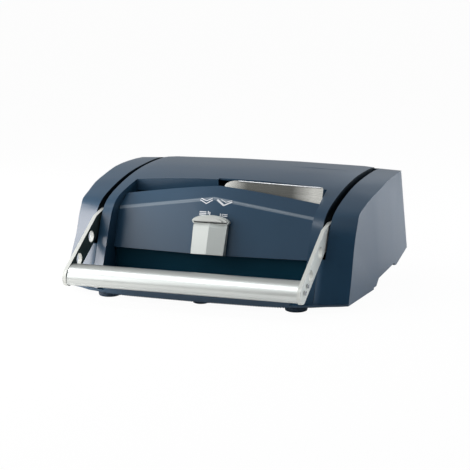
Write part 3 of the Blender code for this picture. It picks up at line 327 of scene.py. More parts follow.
@dataclass(frozen=True)
class BrushedMetal:
    """Metal with fine lines along one way."""

    name: str
    colour: Colour
    roughness: float
    grain: Grain
    metallic: float = 1.0
    streak: float = 0.06
    line_share: float = 0.6
    line_dulling: float = 0.10
    cloud_dulling: float = 0.05
    middle_dulling: float = 0.07
    line_bump: float = 0.05
    line_depth: float = 0.0001

    def make(self) -> bpy.types.Material:
        """Makes the material.

        Returns:
            The material.
        """
        nodes = Nodes(self.name)
        lines = nodes.brushed(self.grain)
        clouds = nodes.clouds()
        shade = (lines * self.line_share + clouds * (1.0 - self.line_share)).limited()
        base = self.roughness - self.middle_dulling
        nodes.set(
            Base_Color=nodes.shades(shade, self.colour, 1.0 - self.streak, 1.0 + self.streak),
            Metallic=self.metallic,
            Roughness=lines * self.line_dulling + clouds * self.cloud_dulling + base,
        )
        nodes.bump(lines, self.line_bump, self.line_depth)
        return nodes.material


@dataclass(frozen=True)
class PaintedHighlightPlate:
    """Brushed sheet metal whose two ends are painted much lighter than its middle, a painted highlight."""

    name: str
    unhighlighted_colour: Colour
    bright: Colour
    roughness: float
    unhighlighted_middle: float = 0.068
    unhighlighted_half: float = 0.035
    highlight_fade: float = 0.033
    line_share: float = 0.12
    cloud_share: float = 0.16
    highlight_bias: float = 0.12
    line_dulling: float = 0.10
    line_bump: float = 0.05
    line_depth: float = 0.0001

    def make(self) -> bpy.types.Material:
        """Makes the material.

        Returns:
            The material.
        """
        nodes = Nodes(self.name)
        lines = nodes.brushed(Grain.ACROSS_PRESS)
        clouds = nodes.clouds()
        # Painted highlight: beyond a band about the plate's middle, the colour turns towards the bright colour, so
        # both ends look lit.
        painted_end_highlight = (abs(nodes.across() - self.unhighlighted_middle) - self.unhighlighted_half) * (1.0 / self.highlight_fade)
        shade = (painted_end_highlight + lines * self.line_share + clouds * self.cloud_share - self.highlight_bias).limited()
        nodes.set(
            Base_Color=nodes.blend(shade, self.unhighlighted_colour, self.bright),
            Metallic=1.0,
            Roughness=lines * self.line_dulling + (self.roughness - self.line_dulling / 2),
        )
        nodes.bump(lines, self.line_bump, self.line_depth)
        return nodes.material


@dataclass(frozen=True)
class FootRubber:
    """Matt rubber with a dusty, slightly uneven skin."""

    name: str
    colour: Colour
    dust_scale: float = 160.0
    dust_detail: float = 4.0
    dust_rough: float = 0.6
    clean_share: float = 0.85
    dusty_share: float = 1.25
    least_roughness: float = 0.65
    dust_dulling: float = 0.15
    dust_bump: float = 0.15
    dust_depth: float = 0.0004

    def make(self) -> bpy.types.Material:
        """Makes the material.

        Returns:
            The material.
        """
        nodes = Nodes(self.name)
        dust = nodes.noise(self.dust_scale, self.dust_detail, self.dust_rough)
        nodes.set(
            Base_Color=nodes.shades(dust, self.colour, self.clean_share, self.dusty_share),
            Roughness=dust * self.dust_dulling + self.least_roughness,
        )
        nodes.bump(dust, self.dust_bump, self.dust_depth)
        return nodes.material


@dataclass(frozen=True)
class RibbedKnobPaint:
    """Silver paint over a grip with fine upright ribs."""

    name: str
    colour: Colour
    rib_spacing: float = 0.0016
    rib_spacing_at_scale_one: float = 0.314
    rib_share: float = 0.35
    rib_bump: float = 0.25
    rib_depth: float = 0.0002
    fleck_scale: float = 2400.0
    fleck_detail: float = 1.0
    fleck_dulling: float = 0.1
    dark_share: float = 0.92
    light_share: float = 1.06
    metallic: float = 0.15
    least_roughness: float = 0.45

    def make(self) -> bpy.types.Material:
        """Makes the material.

        Returns:
            The material.
        """
        nodes = Nodes(self.name)
        wave = nodes.node(
            "ShaderNodeTexWave",
            {"wave_type": "BANDS", "bands_direction": "X", "wave_profile": "SIN"},
            {"Vector": nodes.place(), "Scale": self.rib_spacing_at_scale_one / self.rib_spacing},
        )
        ribs = Signal(nodes, wave.outputs["Fac"])
        fleck = nodes.noise(self.fleck_scale, self.fleck_detail)
        shade = (ribs * self.rib_share + fleck * (1.0 - self.rib_share)).limited()
        nodes.set(
            Base_Color=nodes.shades(shade, self.colour, self.dark_share, self.light_share),
            Metallic=self.metallic,
            Roughness=fleck * self.fleck_dulling + self.least_roughness,
        )
        nodes.bump(ribs, self.rib_bump, self.rib_depth)
        return nodes.material


@dataclass(frozen=True)
class PrintedInk:
    """Thin screen-printed ink, a little worn."""

    name: str
    colour: Colour
    wear_scale: float = 900.0
    wear_detail: float = 3.0
    worn_share: float = 0.85
    wear_dulling: float = 0.2
    least_roughness: float = 0.4

    def make(self) -> bpy.types.Material:
        """Makes the material.

        Returns:
            The material.
        """
        nodes = Nodes(self.name)
        wear = nodes.noise(self.wear_scale, self.wear_detail)
        nodes.set(
            Base_Color=nodes.shades(wear, self.colour, self.worn_share, 1.0),
            Roughness=wear * self.wear_dulling + self.least_roughness,
        )
        return nodes.material


class Finishes:
    """Every finish of the press, made once."""

    def __init__(self) -> None:
        """Makes the materials."""
        self.navy = MouldedPlastic("navy_plastic_finish", (0.0155, 0.0480, 0.0890), 0.30, specular=0.46).make()
        # Dark plastic for the mode slide, also lining the groove walls as painted shade.
        self.dark_plastic_and_groove_shade = MouldedPlastic("dark_plastic_and_painted_groove_shade_finish", (0.003, 0.010, 0.017), 0.5, specular=0.15).make()
        # A darker, almost unreflecting navy for the lower fascia under the panel: painted shade.
        self.fascia = MouldedPlastic("fascia_painted_shade_finish", (0.0036, 0.031, 0.052), 0.5, specular=0.04).make()
        self.foot = FootRubber("foot_rubber_finish", (0.013, 0.034, 0.062)).make()
        self.bar = BrushedMetal("bar_aluminium_finish", (0.58, 0.605, 0.585), 0.36, Grain.ACROSS_PRESS).make()
        self.arm = BrushedMetal(
            "arm_aluminium_finish", (0.58, 0.60, 0.57), 0.50, Grain.ALONG_ARM, metallic=0.30,
        ).make()
        # A near-black copy of the arm metal for the arms' inward faces: painted shade.
        self.arm_inside_painted_shade = BrushedMetal(
            "arm_inside_painted_shade_finish", (0.060, 0.085, 0.075), 0.45, Grain.ALONG_ARM, metallic=0.6,
        ).make()
        # The guide plate's ends carry a painted highlight.
        self.plate = PaintedHighlightPlate("guide_plate_painted_highlight_finish", (0.160, 0.163, 0.152), (0.84, 0.84, 0.79), 0.26).make()
        # A lighter navy for the panel's rounded crease: a painted highlight.
        self.crease = MouldedPlastic("painted_crease_highlight_finish", (0.105, 0.145, 0.185), 0.34, specular=0.46).make()
        self.steel = BrushedMetal("bright_steel_finish", (0.55, 0.56, 0.57), 0.28, Grain.ACROSS_PRESS).make()
        self.screw = BrushedMetal("screw_steel_finish", (0.58, 0.59, 0.60), 0.22, Grain.NONE).make()
        self.gear = BrushedMetal("gear_steel_finish", (0.42, 0.42, 0.43), 0.34, Grain.NONE).make()
        self.bush = BrushedMetal("bush_bronze_finish", (0.55, 0.36, 0.17), 0.36, Grain.NONE).make()
        self.black = MouldedPlastic(
            "black_coating_finish", (0.012, 0.012, 0.013), 0.45, specular=0.4, grain=0.2, grain_scale=700.0,
        ).make()
        self.knob = RibbedKnobPaint("knob_paint_finish", (0.435, 0.470, 0.455)).make()
        # A lighter copy of the knob paint for the collar cap: painted light.
        self.collar = RibbedKnobPaint("collar_paint_painted_light_finish", (0.47, 0.49, 0.47)).make()
        self.ink = PrintedInk("white_ink_finish", (0.72, 0.75, 0.78)).make()


@dataclass(frozen=True)
class Rounding:
    """One round of edge rounding on a piece."""

    width: float
    steps: int = 2
    least_turn: float = EDGE_TURN
    where: Callable[[bmesh.types.BMEdge], bool] | None = None
    clamped: bool = True

    def takes(self, edge: bmesh.types.BMEdge) -> bool:
        """Says whether this round rounds an edge."""
        return has_sharp_turn(edge, self.least_turn) and (self.where is None or self.where(edge))

    def cut(self, shape: bmesh.types.BMesh, edges: Sequence[bmesh.types.BMEdge]) -> None:
        """Rounds some edges of a mesh.

        Args:
            shape: The mesh.
            edges: Its edges to be rounded.
        """
        bmesh.ops.bevel(
            shape, geom=edges, offset=self.width, offset_type="OFFSET", affect="EDGES",
            segments=self.steps, profile=0.5, material=-1, clamp_overlap=self.clamped,
        )


@dataclass(frozen=True)
class Lining:
    """A second finish for some of a piece's faces."""

    material: bpy.types.Material
    covers: Callable[[bmesh.types.BMFace], bool]


def in_groove(face: bmesh.types.BMFace) -> bool:
    """Says whether a face is a wall inside one of the two grooves, which is lined near-black as painted shade."""
    return GROOVE_INNER_X < abs(face.calc_center_median().x) < GROOVE_OUTER_X and abs(face.normal.x) > SIDEWAYS_LEAST


def faces_inwards(face: bmesh.types.BMFace) -> bool:
    """Says whether a face looks squarely towards the press's middle."""
    return face.normal.x * face.calc_center_median().x < 0 and abs(face.normal.x) > SQUARE_LEAST


def has_sharp_turn(edge: bmesh.types.BMEdge, turn: float) -> bool:
    """Says whether two faces meet at an edge at more than an angle."""
    return len(edge.link_faces) == 2 and edge.calc_face_angle(0.0) > turn


def graded(length: float) -> float:
    """Rounds a length to a hundredth of a millimetre, so that places nearly level count as level."""
    return round(length, 5)


def topmost(points: Sequence[Vector]) -> Vector:
    """Returns the highest of some points, and of those that are level the one furthest right."""
    return max(points, key=lambda point: (graded(point.z), point.x))


def placed(name: str, data: bpy.types.ID) -> bpy.types.Object:
    """Puts an object with some data into the scene.

    Args:
        name: The object's name.
        data: Its mesh, lamp or camera.

    Returns:
        The object.
    """
    thing = bpy.data.objects.new(name, data)
    bpy.context.scene.collection.objects.link(thing)
    return thing


def meshed(name: str, shape: bmesh.types.BMesh, material: bpy.types.Material) -> bpy.types.Object:
    """Turns a bmesh into an object in the scene.

    Args:
        name: The object's name.
        shape: Its mesh, freed here.
        material: Its finish.

    Returns:
        The object.
    """
    mesh = bpy.data.meshes.new(name)
    shape.to_mesh(mesh)
    shape.free()
    mesh.materials.append(material)
    return placed(name, mesh)


def finished(
    name: str,
    shape: bmesh.types.BMesh,
    material: bpy.types.Material,
    body: str,
    sharp: float = SHARP_TURN,
) -> bpy.types.Object:
    """Turns a bmesh into a smooth-shaded piece that rides on a body.

    Args:
        name: The piece's name.
        shape: Its mesh, freed here.
        material: Its finish.
        body: The body that carries it.
        sharp: The turn from which an edge is shaded sharp.

    Returns:
        The piece.
    """
    for edge in shape.edges:
        edge.smooth = not has_sharp_turn(edge, sharp)
    for face in shape.faces:
        face.smooth = True
    piece = meshed(name, shape, material)
    weighted = piece.modifiers.new("even_normals", "WEIGHTED_NORMAL")
    weighted.keep_sharp = True
    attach(piece, body)
    return piece


def refined(
    node: str,
    material: bpy.types.Material,
    body: str,
    rounds: Sequence[Rounding],
    sharp: float = SHARP_TURN,
    lining: Lining | None = None,
    reworked: Callable[[bmesh.types.BMesh], None] | None = None,
) -> bpy.types.Object:
    """Stands a welded, edge-rounded copy of a CAD node in its place.

    Args:
        node: The CAD node.
        material: The copy's finish.
        body: The body that carries it.
        rounds: The edge roundings, one after another.
        sharp: The turn from which an edge is shaded sharp.
        lining: The finish of some of its faces.
        reworked: What is done to the welded shape before its edges are rounded.

    Returns:
        The piece.
    """
    shape = bmesh.new()
    shape.from_mesh(frame["nodes"][node].data)
    bmesh.ops.remove_doubles(shape, verts=shape.verts, dist=WELD_GAP)
    bmesh.ops.dissolve_limit(shape, angle_limit=FLAT_TURN, verts=shape.verts, edges=shape.edges)
    if reworked is not None:
        reworked(shape)
    for rounding in rounds:
        rounding.cut(shape, [edge for edge in shape.edges if rounding.takes(edge)])
    if lining is not None:
        for face in shape.faces:
            face.material_index = int(lining.covers(face))
    piece = finished(node + "_shell", shape, material, body, sharp)
    if lining is not None:
        piece.data.materials.append(lining.material)
    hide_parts(node)
    return piece


def dress(names: Sequence[str], material: bpy.types.Material) -> None:
    """Gives CAD nodes that are shown as they are their finish.

    Args:
        names: The nodes.
        material: Their finish.
    """
    for name in names:
        slots = frame["nodes"][name].data.materials
        slots.clear()
        slots.append(material)


def box(shape: bmesh.types.BMesh, middle: Vector, size: Vector, pose: Matrix | None = None) -> None:
    """Adds a box to a mesh.

    Args:
        shape: The mesh.
        middle: The box's middle.
        size: Its size along each axis.
        pose: The frame in which middle and size are given.
    """
    place = Matrix.Translation(middle) @ Matrix.Diagonal((*size, 1.0))
    bmesh.ops.create_cube(shape, size=1.0, matrix=(pose or Matrix()) @ place)


def rod(radius: float, length: float, segments: int, pose: Matrix) -> bmesh.types.BMesh:
    """Makes a closed round rod.

    Args:
        radius: Its radius.
        length: Its length.
        segments: How many flats go round it.
        pose: The frame in which it lies along Z.

    Returns:
        The rod.
    """
    shape = bmesh.new()
    bmesh.ops.create_cone(
        shape, cap_ends=True, segments=segments, radius1=radius, radius2=radius, depth=length, matrix=pose,
    )
    return shape


def surface_of(node: str) -> BVHTree:
    """Finds a CAD node's surface, on which lines can be ended.

    Args:
        node: The CAD node.

    Returns:
        The surface.
    """
    shape = bmesh.new()
    shape.from_mesh(frame["nodes"][node].data)
    tree = BVHTree.FromBMesh(shape)
    shape.free()
    return tree


def laid_on(
    shape: bmesh.types.BMesh, node: str, pose: Matrix, longest: float, cuts: int, lift: float, reach: float = 0.03,
) -> None:
    """Lays a flat shape on a CAD node, looking back along the frame's Z axis.

    Args:
        shape: The shape, drawn about the frame's XY plane.
        node: The CAD node.
        pose: The frame.
        longest: The length from which its edges are cut up, so that they follow the surface.
        cuts: How many cuts such an edge gets.
        lift: How far the shape's middle stands off the node's surface.
        reach: How far off the frame the look back starts.
    """
    long_edges = [edge for edge in shape.edges if edge.calc_length() > longest]
    bmesh.ops.subdivide_edges(shape, edges=long_edges, cuts=cuts, use_grid_fill=True)
    surface = surface_of(node)
    out = pose.to_3x3() @ Vector((0.0, 0.0, 1.0))
    flat = pose.inverted()
    for vert in shape.verts:
        height = (flat @ vert.co).z
        hit = surface.ray_cast(vert.co + out * reach, -out)[0]
        if hit is not None:
            vert.co = hit + out * (height + lift)
    bmesh.ops.recalc_face_normals(shape, faces=shape.faces)


def panel_frame() -> Matrix:
    """Finds the frame of the panel's lower face about the selector's axis.

    Returns:
        The frame, with +X right, +Y up and +Z out.
    """
    out = Vector(SELECTOR_JOINT["axis"]).normalized()
    right = Vector((1.0, 0.0, 0.0))
    pose = Matrix((right, out.cross(right), out)).transposed().to_4x4()
    pose.translation = Vector(SELECTOR_JOINT["pos_m"])
    return pose


@dataclass
class Housing:
    """The moulded shells, the base pan with its ribs and the feet."""

    finishes: Finishes
    edge: float = 0.0020
    seam_edge: float = 0.0011
    rib_count: int = 72
    rib_pitch: float = 0.0038
    rib_size: Vector = field(default_factory=lambda: Vector((0.0020, 0.0060, 0.0013)))
    rib_fall_share: float = 0.4
    rib_probe_rise: float = 0.001
    rib_probe_start: float = -0.5
    feet: tuple[str, ...] = ("front_left", "front_middle", "front_right", "rear_left", "rear_right")

    def build(self) -> list[bpy.types.Object]:
        """Builds and dresses the pieces.

        Returns:
            The pieces.
        """
        pieces = [
            # The groove walls take the near-black plastic, painted shade.
            self.shell("centre_cover", self.seam_edge, Lining(self.finishes.dark_plastic_and_groove_shade, in_groove)),
            self.shell("left_side_cover", self.edge, Lining(self.finishes.dark_plastic_and_groove_shade, in_groove)),
            self.shell("right_side_cover", self.edge, Lining(self.finishes.dark_plastic_and_groove_shade, in_groove)),
            self.shell("base_pan", self.seam_edge),
            # The lower fascia takes the darker navy, painted shade.
            refined("lower_fascia", self.finishes.fascia, "housing", [Rounding(self.seam_edge)]),
            self.ribs(),
        ]
        for place in self.feet:
            pieces.append(refined(place + "_foot", self.finishes.foot, "housing", []))
        return pieces

    def shell(self, node: str, edge: float, lining: Lining | None = None) -> bpy.types.Object:
        """Builds one navy shell from its node."""
        return refined(node, self.finishes.navy, "housing", [Rounding(edge)], lining=lining)

    def ribs(self) -> bpy.types.Object:
        """Builds the row of short ribs under the base pan's front edge.

        Returns:
            The piece.
        """
        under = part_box("base_pan")[0][2]
        front = surface_of("base_pan")
        shape = bmesh.new()
        for index in range(self.rib_count):
            x = (index - (self.rib_count - 1) / 2) * self.rib_pitch
            start = Vector((x, self.rib_probe_start, under + self.rib_probe_rise))
            hit = front.ray_cast(start, Vector((0.0, 1.0, 0.0)))[0]
            middle = Vector((x, hit.y + self.rib_size.y / 2, under - self.rib_size.z * self.rib_fall_share))
            box(shape, middle, self.rib_size)
        return finished("base_ribs", shape, self.finishes.navy, "housing")


@dataclass
class FrontPanel:
    """The gable-shaped panel with its small printed signs, and its rounded crease lined with a lighter navy as a
    painted highlight.

    Each of the signs' strokes is given by its middle right of and above the selector's axis, its length, its turn
    in degrees and its weight.
    """

    finishes: Finishes
    edge: float = 0.0011
    crease_width: float = 0.0027
    crease_steps: int = 3
    crease_turn: float = math.radians(18)
    corner_turn: float = math.radians(50)
    crease_slopes: tuple[float, float] = (0.365, 0.76)
    least_crease_run: float = 0.005
    least_forward: float = 0.2
    least_crease_forward: float = 0.4
    ink_height: float = 0.00016
    ink_lift_share: float = 0.45
    longest_stroke_edge: float = 0.0022
    stroke_cuts: int = 3
    strokes: tuple[tuple[float, float, float, float, float], ...] = (
        (-0.0165, 0.0440, 0.0114, -26.0, 0.0012), (-0.0068, 0.0443, 0.0112, 29.0, 0.0011),
        (-0.0160, 0.0472, 0.0100, -20.0, 0.0011), (-0.0070, 0.0474, 0.0100, 24.0, 0.0010),
        (0.0098, 0.0442, 0.0126, -36.0, 0.0028), (0.0208, 0.0432, 0.0136, 26.0, 0.0018),
        (0.0215, 0.0464, 0.0100, 20.0, 0.0011), (0.0138, 0.0470, 0.0070, -26.0, 0.0012),
        (-0.0158, 0.0296, 0.0105, 0.0, 0.0012), (-0.0158, 0.0273, 0.0110, 0.0, 0.0012),
        (-0.0158, 0.0250, 0.0105, 0.0, 0.0012), (-0.0074, 0.0288, 0.0045, 90.0, 0.0012),
        (-0.0048, 0.0276, 0.0045, 90.0, 0.0012),
        (0.0112, 0.0260, 0.0050, 90.0, 0.0012), (0.0138, 0.0256, 0.0050, 90.0, 0.0012),
        (0.0184, 0.0274, 0.0062, 0.0, 0.0012), (0.0184, 0.0250, 0.0062, 0.0, 0.0012),
    )

    def build(self) -> list[bpy.types.Object]:
        """Builds and dresses the pieces.

        Returns:
            The pieces.
        """
        crease = Rounding(self.crease_width, self.crease_steps, self.crease_turn, self.is_crease, clamped=False)
        corners = Rounding(self.edge, least_turn=self.corner_turn)
        # The crease's faces take the lighter navy, a painted highlight.
        panel = refined(
            "front_panel", self.finishes.navy, "housing", [crease, corners],
            lining=Lining(self.finishes.crease, self.on_highlighted_crease),
        )
        return [panel, self.signs()]

    def signs(self) -> bpy.types.Object:
        """Prints two rows of small plain signs over the knob: two open books, and two stacks of sheets.

        Returns:
            The piece.
        """
        pose = panel_frame()
        shape = bmesh.new()
        for x, y, length, turn, weight in self.strokes:
            place = pose @ Matrix.Translation((x, y, 0.0)) @ Matrix.Rotation(math.radians(turn), 4, "Z")
            box(shape, ORIGIN, Vector((length, weight, self.ink_height)), place)
        lift = self.ink_height * self.ink_lift_share
        laid_on(shape, "front_panel", pose, self.longest_stroke_edge, self.stroke_cuts, lift)
        return finished("panel_signs", shape, self.finishes.ink, "housing")

    def is_crease(self, edge: bmesh.types.BMEdge) -> bool:
        """Says whether an edge is one of the crease's, on the panel's outside.

        Args:
            edge: The edge.

        Returns:
            True if it is.
        """
        outside = all(face.normal.y < -self.least_forward for face in edge.link_faces)
        shallow = edge.calc_face_angle(0.0) < self.corner_turn
        return outside and shallow and abs((edge.verts[0].co - edge.verts[1].co).x) > self.least_crease_run

    def on_highlighted_crease(self, face: bmesh.types.BMFace) -> bool:
        """Says whether a face is part of the rounded crease, which takes the lighter navy as a painted highlight."""
        low, high = self.crease_slopes
        return low < face.normal.z < high and face.normal.y < -self.least_crease_forward


@dataclass
class Handle:
    """The bar, its two arms and what joins them."""

    finishes: Finishes
    bar_edge: float = 0.0004
    arm_edge: float = 0.0005
    hub_screw_edge: float = 0.0004
    bar_screw_edge: float = 0.0003
    socket_rim_share: float = 0.50
    socket_depth_share: float = 0.45
    socket_draft: float = 0.0001
    bead_turn: float = math.radians(37)
    bead_radius: float = 0.0011
    bead_sink_share: float = 0.35
    bead_segments: int = 20
    bead_reach: float = 0.05

    def build(self) -> list[bpy.types.Object]:
        """Builds and dresses the pieces.

        Returns:
            The pieces.
        """
        bar = refined("handle_bar", self.finishes.bar, "handle", [Rounding(self.bar_edge)])
        pieces = [bar, self.bead()]
        for side in ("left", "right"):
            pieces += [
                # The arms' inward faces take the near-black metal, painted shade.
                refined(
                    side + "_handle_arm", self.finishes.arm, "handle", [Rounding(self.arm_edge)],
                    lining=Lining(self.finishes.arm_inside_painted_shade, faces_inwards),
                ),
                self.screw(side + "_hub_screw", self.hub_screw_edge),
                self.screw(side + "_upper_bar_screw", self.bar_screw_edge),
                self.screw(side + "_lower_bar_screw", self.bar_screw_edge),
            ]
        self.dress()
        return pieces

    def dress(self) -> None:
        """Gives the drive's nodes, which are shown as they are, their finishes."""
        dress(["cross_shaft", "left_shaft_spacer", "right_shaft_spacer"], self.finishes.screw)
        dress(["left_pinion", "right_pinion"], self.finishes.gear)

    def screw(self, node: str, edge: float) -> bpy.types.Object:
        """Builds one screw from its node, with a drive socket."""
        rounds = [Rounding(edge)]
        return refined(node, self.finishes.screw, "handle", rounds, reworked=self.sink_socket)

    def sink_socket(self, shape: bmesh.types.BMesh) -> None:
        """Sinks a round drive socket into a screw's outer face.

        Args:
            shape: The screw's mesh.
        """
        outer = max(shape.faces, key=lambda face: (graded(abs(face.calc_center_median().x)), face.calc_area()))
        radius = math.sqrt(outer.calc_area() / math.pi)
        for width, depth in (
            (radius * self.socket_rim_share, 0.0),
            (self.socket_draft, -radius * self.socket_depth_share),
        ):
            bmesh.ops.inset_individual(shape, faces=[outer], thickness=width, depth=depth)

    def bead(self) -> bpy.types.Object:
        """Builds the thin half-round bead along the bar's lower front.

        Returns:
            The piece.
        """
        low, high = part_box("handle_bar")
        middle = Vector((0.0, (low[1] + high[1]) / 2, (low[2] + high[2]) / 2))
        way = Vector((0.0, -math.cos(self.bead_turn), -math.sin(self.bead_turn)))
        hit = surface_of("handle_bar").ray_cast(middle + way * self.bead_reach, -way)[0]
        centre = hit - way * self.bead_radius * self.bead_sink_share
        pose = Matrix.Translation(centre) @ Matrix.Rotation(math.pi / 2, 4, "Y")
        shape = rod(self.bead_radius, high[0] - low[0], self.bead_segments, pose)
        return finished("handle_bar_bead", shape, self.finishes.bar, "handle")


@dataclass
class Selector:
    """The knob and what it turns.

    Each of the cap's steps is given by its half width, its half height, and its lowest and highest level.
    """

    finishes: Finishes
    knob_edge: float = 0.0005
    knob_turn: float = math.radians(30)
    knob_sharp: float = math.radians(12)
    collar_rise: float = 0.0153
    cap_edge: float = 0.0010
    cap_edge_steps: int = 3
    cap_segments: int = 64
    cap_sharp: float = math.radians(35)
    cap_steps: tuple[tuple[float, float, float, float], ...] = (
        (0.0262, 0.0076, 0.0050, 0.0094),
        (0.0195, 0.0046, 0.0085, 0.0122),
    )
    # The black strip under the collar is a painted shadow.
    shadow_line_drop: float = 0.0012
    shadow_line_size: Vector = field(default_factory=lambda: Vector((0.0500, 0.0015, 0.0004)))
    shadow_line_cuts: int = 23

    def build(self) -> list[bpy.types.Object]:
        """Builds and dresses the pieces.

        Returns:
            The pieces.
        """
        knob = refined(
            "selector_knob", self.finishes.knob, "selector",
            [Rounding(self.knob_edge, least_turn=self.knob_turn)], sharp=self.knob_sharp,
        )
        self.dress()
        return [knob, self.cap(), self.joint()]

    def dress(self) -> None:
        """Gives the nodes behind the panel, which are shown as they are, their finishes."""
        dress(["selector_shaft", "selector_crank"], self.finishes.steel)
        dress(["mode_slide"], self.finishes.dark_plastic_and_groove_shade)
        dress(["left_slide_guide", "right_slide_guide"], self.finishes.black)

    def joint(self) -> bpy.types.Object:
        """Builds a thin black strip between the collar and the grip, a painted shadow under the collar, which
        follows the grip's two faces.

        Returns:
            The piece.
        """
        pose = panel_frame()
        shape = bmesh.new()
        box(shape, Vector((0.0, self.collar_rise - self.shadow_line_drop, 0.0)), self.shadow_line_size, pose)
        laid_on(shape, "selector_knob", pose, 2 * self.shadow_line_size.y, self.shadow_line_cuts, 0.0)
        return finished("selector_painted_shadow_line", shape, self.finishes.black, "selector")

    def cap(self) -> bpy.types.Object:
        """Builds the raised half-oval on the collar, with its inner step.

        Returns:
            The piece.
        """
        shape = bmesh.new()
        rounding = Rounding(self.cap_edge, self.cap_edge_steps, SHARP_TURN)
        for half_width, half_height, low, high in self.cap_steps:
            middle = Vector((0.0, self.collar_rise, low))
            place = Matrix.Translation(middle) @ Matrix.Diagonal((half_width, half_height, 1.0, 1.0))
            made = bmesh.ops.create_circle(
                shape, cap_ends=True, segments=self.cap_segments, radius=1.0, matrix=place,
            )["verts"]
            edges = list({edge for vert in made for edge in vert.link_edges})
            faces = list({face for vert in made for face in vert.link_faces})
            cut = bmesh.ops.bisect_plane(
                shape, geom=made + edges + faces, plane_co=middle, plane_no=(0.0, 1.0, 0.0), clear_inner=True,
            )["geom"]
            faces = [item for item in cut if isinstance(item, bmesh.types.BMFace)]
            raised = bmesh.ops.extrude_face_region(shape, geom=faces)["geom"]
            tops = [item for item in raised if isinstance(item, bmesh.types.BMVert)]
            bmesh.ops.translate(shape, verts=tops, vec=(0.0, 0.0, high - low))
            rim = [edge for edge in shape.edges if all(vert in tops for vert in edge.verts) and rounding.takes(edge)]
            rounding.cut(shape, rim)
        bmesh.ops.recalc_face_normals(shape, faces=shape.faces)
        bmesh.ops.transform(shape, matrix=panel_frame(), verts=shape.verts)
        # The cap takes the lighter copy of the knob paint, painted light.
        return finished("selector_cap", shape, self.finishes.collar, "selector", self.cap_sharp)


@dataclass
class JawWorks:
    """The frames, jaws, racks and rods inside, and the metal plate in the slot."""

    finishes: Finishes
    plate_edge: float = 0.0006
    rim_radius: float = 0.0012
    rim_sink: float = 0.0010
    rim_end: float = 0.024
    rim_segments: int = 16

    def build(self) -> list[bpy.types.Object]:
        """Builds and dresses the pieces.

        Returns:
            The pieces.
        """
        self.dress()
        rounds = [Rounding(self.plate_edge)]
        return [refined("guide_plate", self.finishes.plate, "paper_guide", rounds), self.rim()]

    def dress(self) -> None:
        """Gives the works, which are shown as they are, their finishes."""
        dress(["left_frame", "right_frame", "rear_beam"], self.finishes.black)
        dress(["fixed_jaw", "moving_jaw", "spine_bed"], self.finishes.steel)
        dress(["left_guide_rod", "right_guide_rod"], self.finishes.screw)
        dress(["left_rack", "right_rack"], self.finishes.gear)
        dress(["left_shaft_bush", "right_shaft_bush"], self.finishes.bush)

    def rim(self) -> bpy.types.Object:
        """Builds the plate's rolled upper rim, between the tops of its two corners.

        Returns:
            The piece.
        """
        points = [vert.co for vert in frame["nodes"]["guide_plate"].data.vertices]
        low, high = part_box("guide_plate")
        first = topmost([point for point in points if point.x < low[0] + self.rim_end])
        last = topmost([point for point in points if point.x > high[0] - self.rim_end])
        way = last - first
        middle = (first + last) / 2 - Vector((0.0, 0.0, self.rim_sink))
        pose = Matrix.Translation(middle) @ way.to_track_quat("Z", "Y").to_matrix().to_4x4()
        shape = rod(self.rim_radius, way.length, self.rim_segments, pose)
        return finished("guide_plate_rim", shape, self.finishes.screw, "paper_guide")


@dataclass(frozen=True)
class Softbox:
    """A flat lamp that faces the press, and how bright its face is, where a glow of 1 is white."""

    name: str
    place: tuple[float, float, float]
    width: float
    height: float
    glow: float
    tint: Colour = (0.95, 0.97, 1.0)
    aim: tuple[float, float, float] = (0.0, 0.0, 0.08)

    def hang(self) -> None:
        """Hangs the lamp."""
        data = bpy.data.lights.new(self.name, "AREA")
        data.shape = "RECTANGLE"
        data.size = self.width
        data.size_y = self.height
        data.energy = math.pi * self.width * self.height * self.glow
        data.color = self.tint
        lamp = placed(self.name, data)
        lamp.location = self.place
        lamp.rotation_euler = (Vector(self.aim) - Vector(self.place)).to_track_quat("-Z", "Y").to_euler()


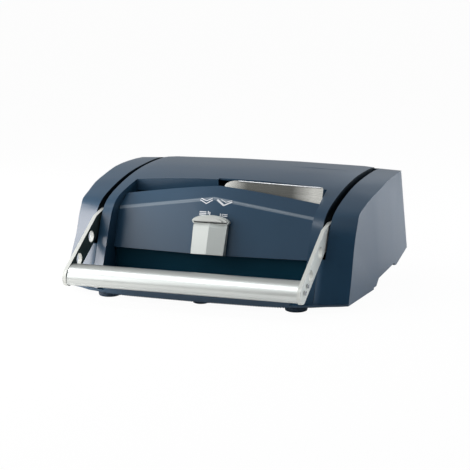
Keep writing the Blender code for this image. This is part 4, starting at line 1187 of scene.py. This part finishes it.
@dataclass
class Studio:
    """The white floor and surround, the lamps, the black flag and the camera."""

    focal_pixels: float = 1774.47
    picture_pixels: float = 470
    sensor: float = 36.0
    sight: float = 60.0
    distance: float = 2.60254
    azimuth: float = math.radians(20.98)
    elevation: float = math.radians(10.28)
    aim_across: float = 0.00158
    aim_before_beam: float = 0.056
    aim_height: float = 0.075
    sky: float = 0.41
    mirrored_sky: float = 0.48
    floor_radius: float = 25.0
    floor_segments: int = 64
    floor_colour: Colour = (0.9, 0.9, 0.9)
    floor_roughness: float = 0.9
    floor_white: float = 0.965
    mirrored_floor: float = 0.18
    flag_place: tuple[float, float, float] = (0.74, -0.82, 0.40)
    flag_turn: float = math.radians(43)
    flag_size: tuple[float, float, float] = (1.7, 0.01, 1.1)
    softboxes: tuple[Softbox, ...] = (
        Softbox("left_softbox", (-1.05, -0.10, 0.30), 1.5, 0.58, 8.0, (1.0, 0.93, 0.895)),
        Softbox("front_left_softbox", (-1.04, -0.87, 0.70), 1.2, 0.9, 1.9),
        Softbox("top_softbox", (-0.46, -0.58, 1.46), 1.30, 0.34, 6.0),
        Softbox("back_softbox", (-0.10, 2.30, 1.15), 0.9, 0.7, 0.5, (0.85, 0.92, 1.0)),
        Softbox("right_softbox", (1.10, 0.84, 0.42), 1.2, 0.9, 4.0, (0.89, 0.94, 1.0)),
    )

    def build(self) -> None:
        """Sets up the floor, the light and the camera."""
        self.floor()
        self.world()
        for softbox in self.softboxes:
            softbox.hang()
        self.flag()
        self.camera()
        bpy.context.scene.view_settings.view_transform = "Standard"

    def camera(self) -> None:
        """Places the camera, which looks at a point before the rear beam."""
        back = Vector((
            math.sin(self.azimuth) * math.cos(self.elevation),
            -math.cos(self.azimuth) * math.cos(self.elevation),
            math.sin(self.elevation),
        ))
        right = Vector((math.cos(self.azimuth), math.sin(self.azimuth), 0.0))
        target = Vector((self.aim_across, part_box("rear_beam")[0][1] - self.aim_before_beam, self.aim_height))
        pose = Matrix((right, back.cross(right), back)).transposed().to_4x4()
        pose.translation = target + back * self.distance
        data = bpy.data.cameras.new("camera")
        data.sensor_width = self.sensor
        data.lens = self.focal_pixels * self.sensor / self.picture_pixels
        data.clip_end = self.sight
        camera = placed("camera", data)
        camera.matrix_world = pose
        bpy.context.scene.camera = camera

    def flag(self) -> None:
        """Stands a black card at the right front, which keeps that side of the press in shade."""
        shape = bmesh.new()
        pose = Matrix.Translation(self.flag_place) @ Matrix.Rotation(self.flag_turn, 4, "Z")
        box(shape, ORIGIN, Vector(self.flag_size), pose)
        nodes = Nodes("black_card")
        nodes.set(Base_Color=BLACK, Specular_IOR_Level=0.0)
        flag = meshed("black_flag", shape, nodes.material)
        flag.visible_camera = False
        flag.visible_shadow = False

    def world(self) -> None:
        """Makes the white surround."""
        world = bpy.data.worlds.new("white_surround")
        world.use_nodes = True
        tree = Tree(world.node_tree)
        background = tree.found("BACKGROUND")
        tree.feed(background.inputs["Color"], WHITE)
        tree.feed(background.inputs["Strength"], tree.by_ray(1.0, self.mirrored_sky, self.sky))
        bpy.context.scene.world = world

    def floor(self) -> None:
        """Lays the white floor, which keeps a faint shadow."""
        shape = bmesh.new()
        bmesh.ops.create_circle(shape, cap_ends=True, segments=self.floor_segments, radius=self.floor_radius)
        nodes = Nodes("white_floor")
        nodes.set(Base_Color=(*self.floor_colour, 1.0), Roughness=self.floor_roughness, Specular_IOR_Level=0.0)
        glow = nodes.node("ShaderNodeEmission", {}, {})
        shares = nodes.by_ray(self.floor_white, self.mirrored_floor, 0.0)
        lit = {0: shares, 1: nodes.shader.outputs[0], 2: glow.outputs[0]}
        mix = nodes.node("ShaderNodeMixShader", {}, lit)
        nodes.feed(nodes.found("OUTPUT_MATERIAL").inputs[0], mix.outputs[0])
        floor = meshed("floor", shape, nodes.material)


def main() -> None:
    """Builds the press and its studio."""
    logging.basicConfig(level=logging.INFO, format="%(name)s: %(message)s")
    Studio().build()
    finishes = Finishes()
    for assembly in (Housing, FrontPanel, Handle, Selector, JawWorks):
        for piece in assembly(finishes).build():
            log.info("%s: %d faces", piece.name, len(piece.data.polygons))


if __name__ == "__main__":
    main()
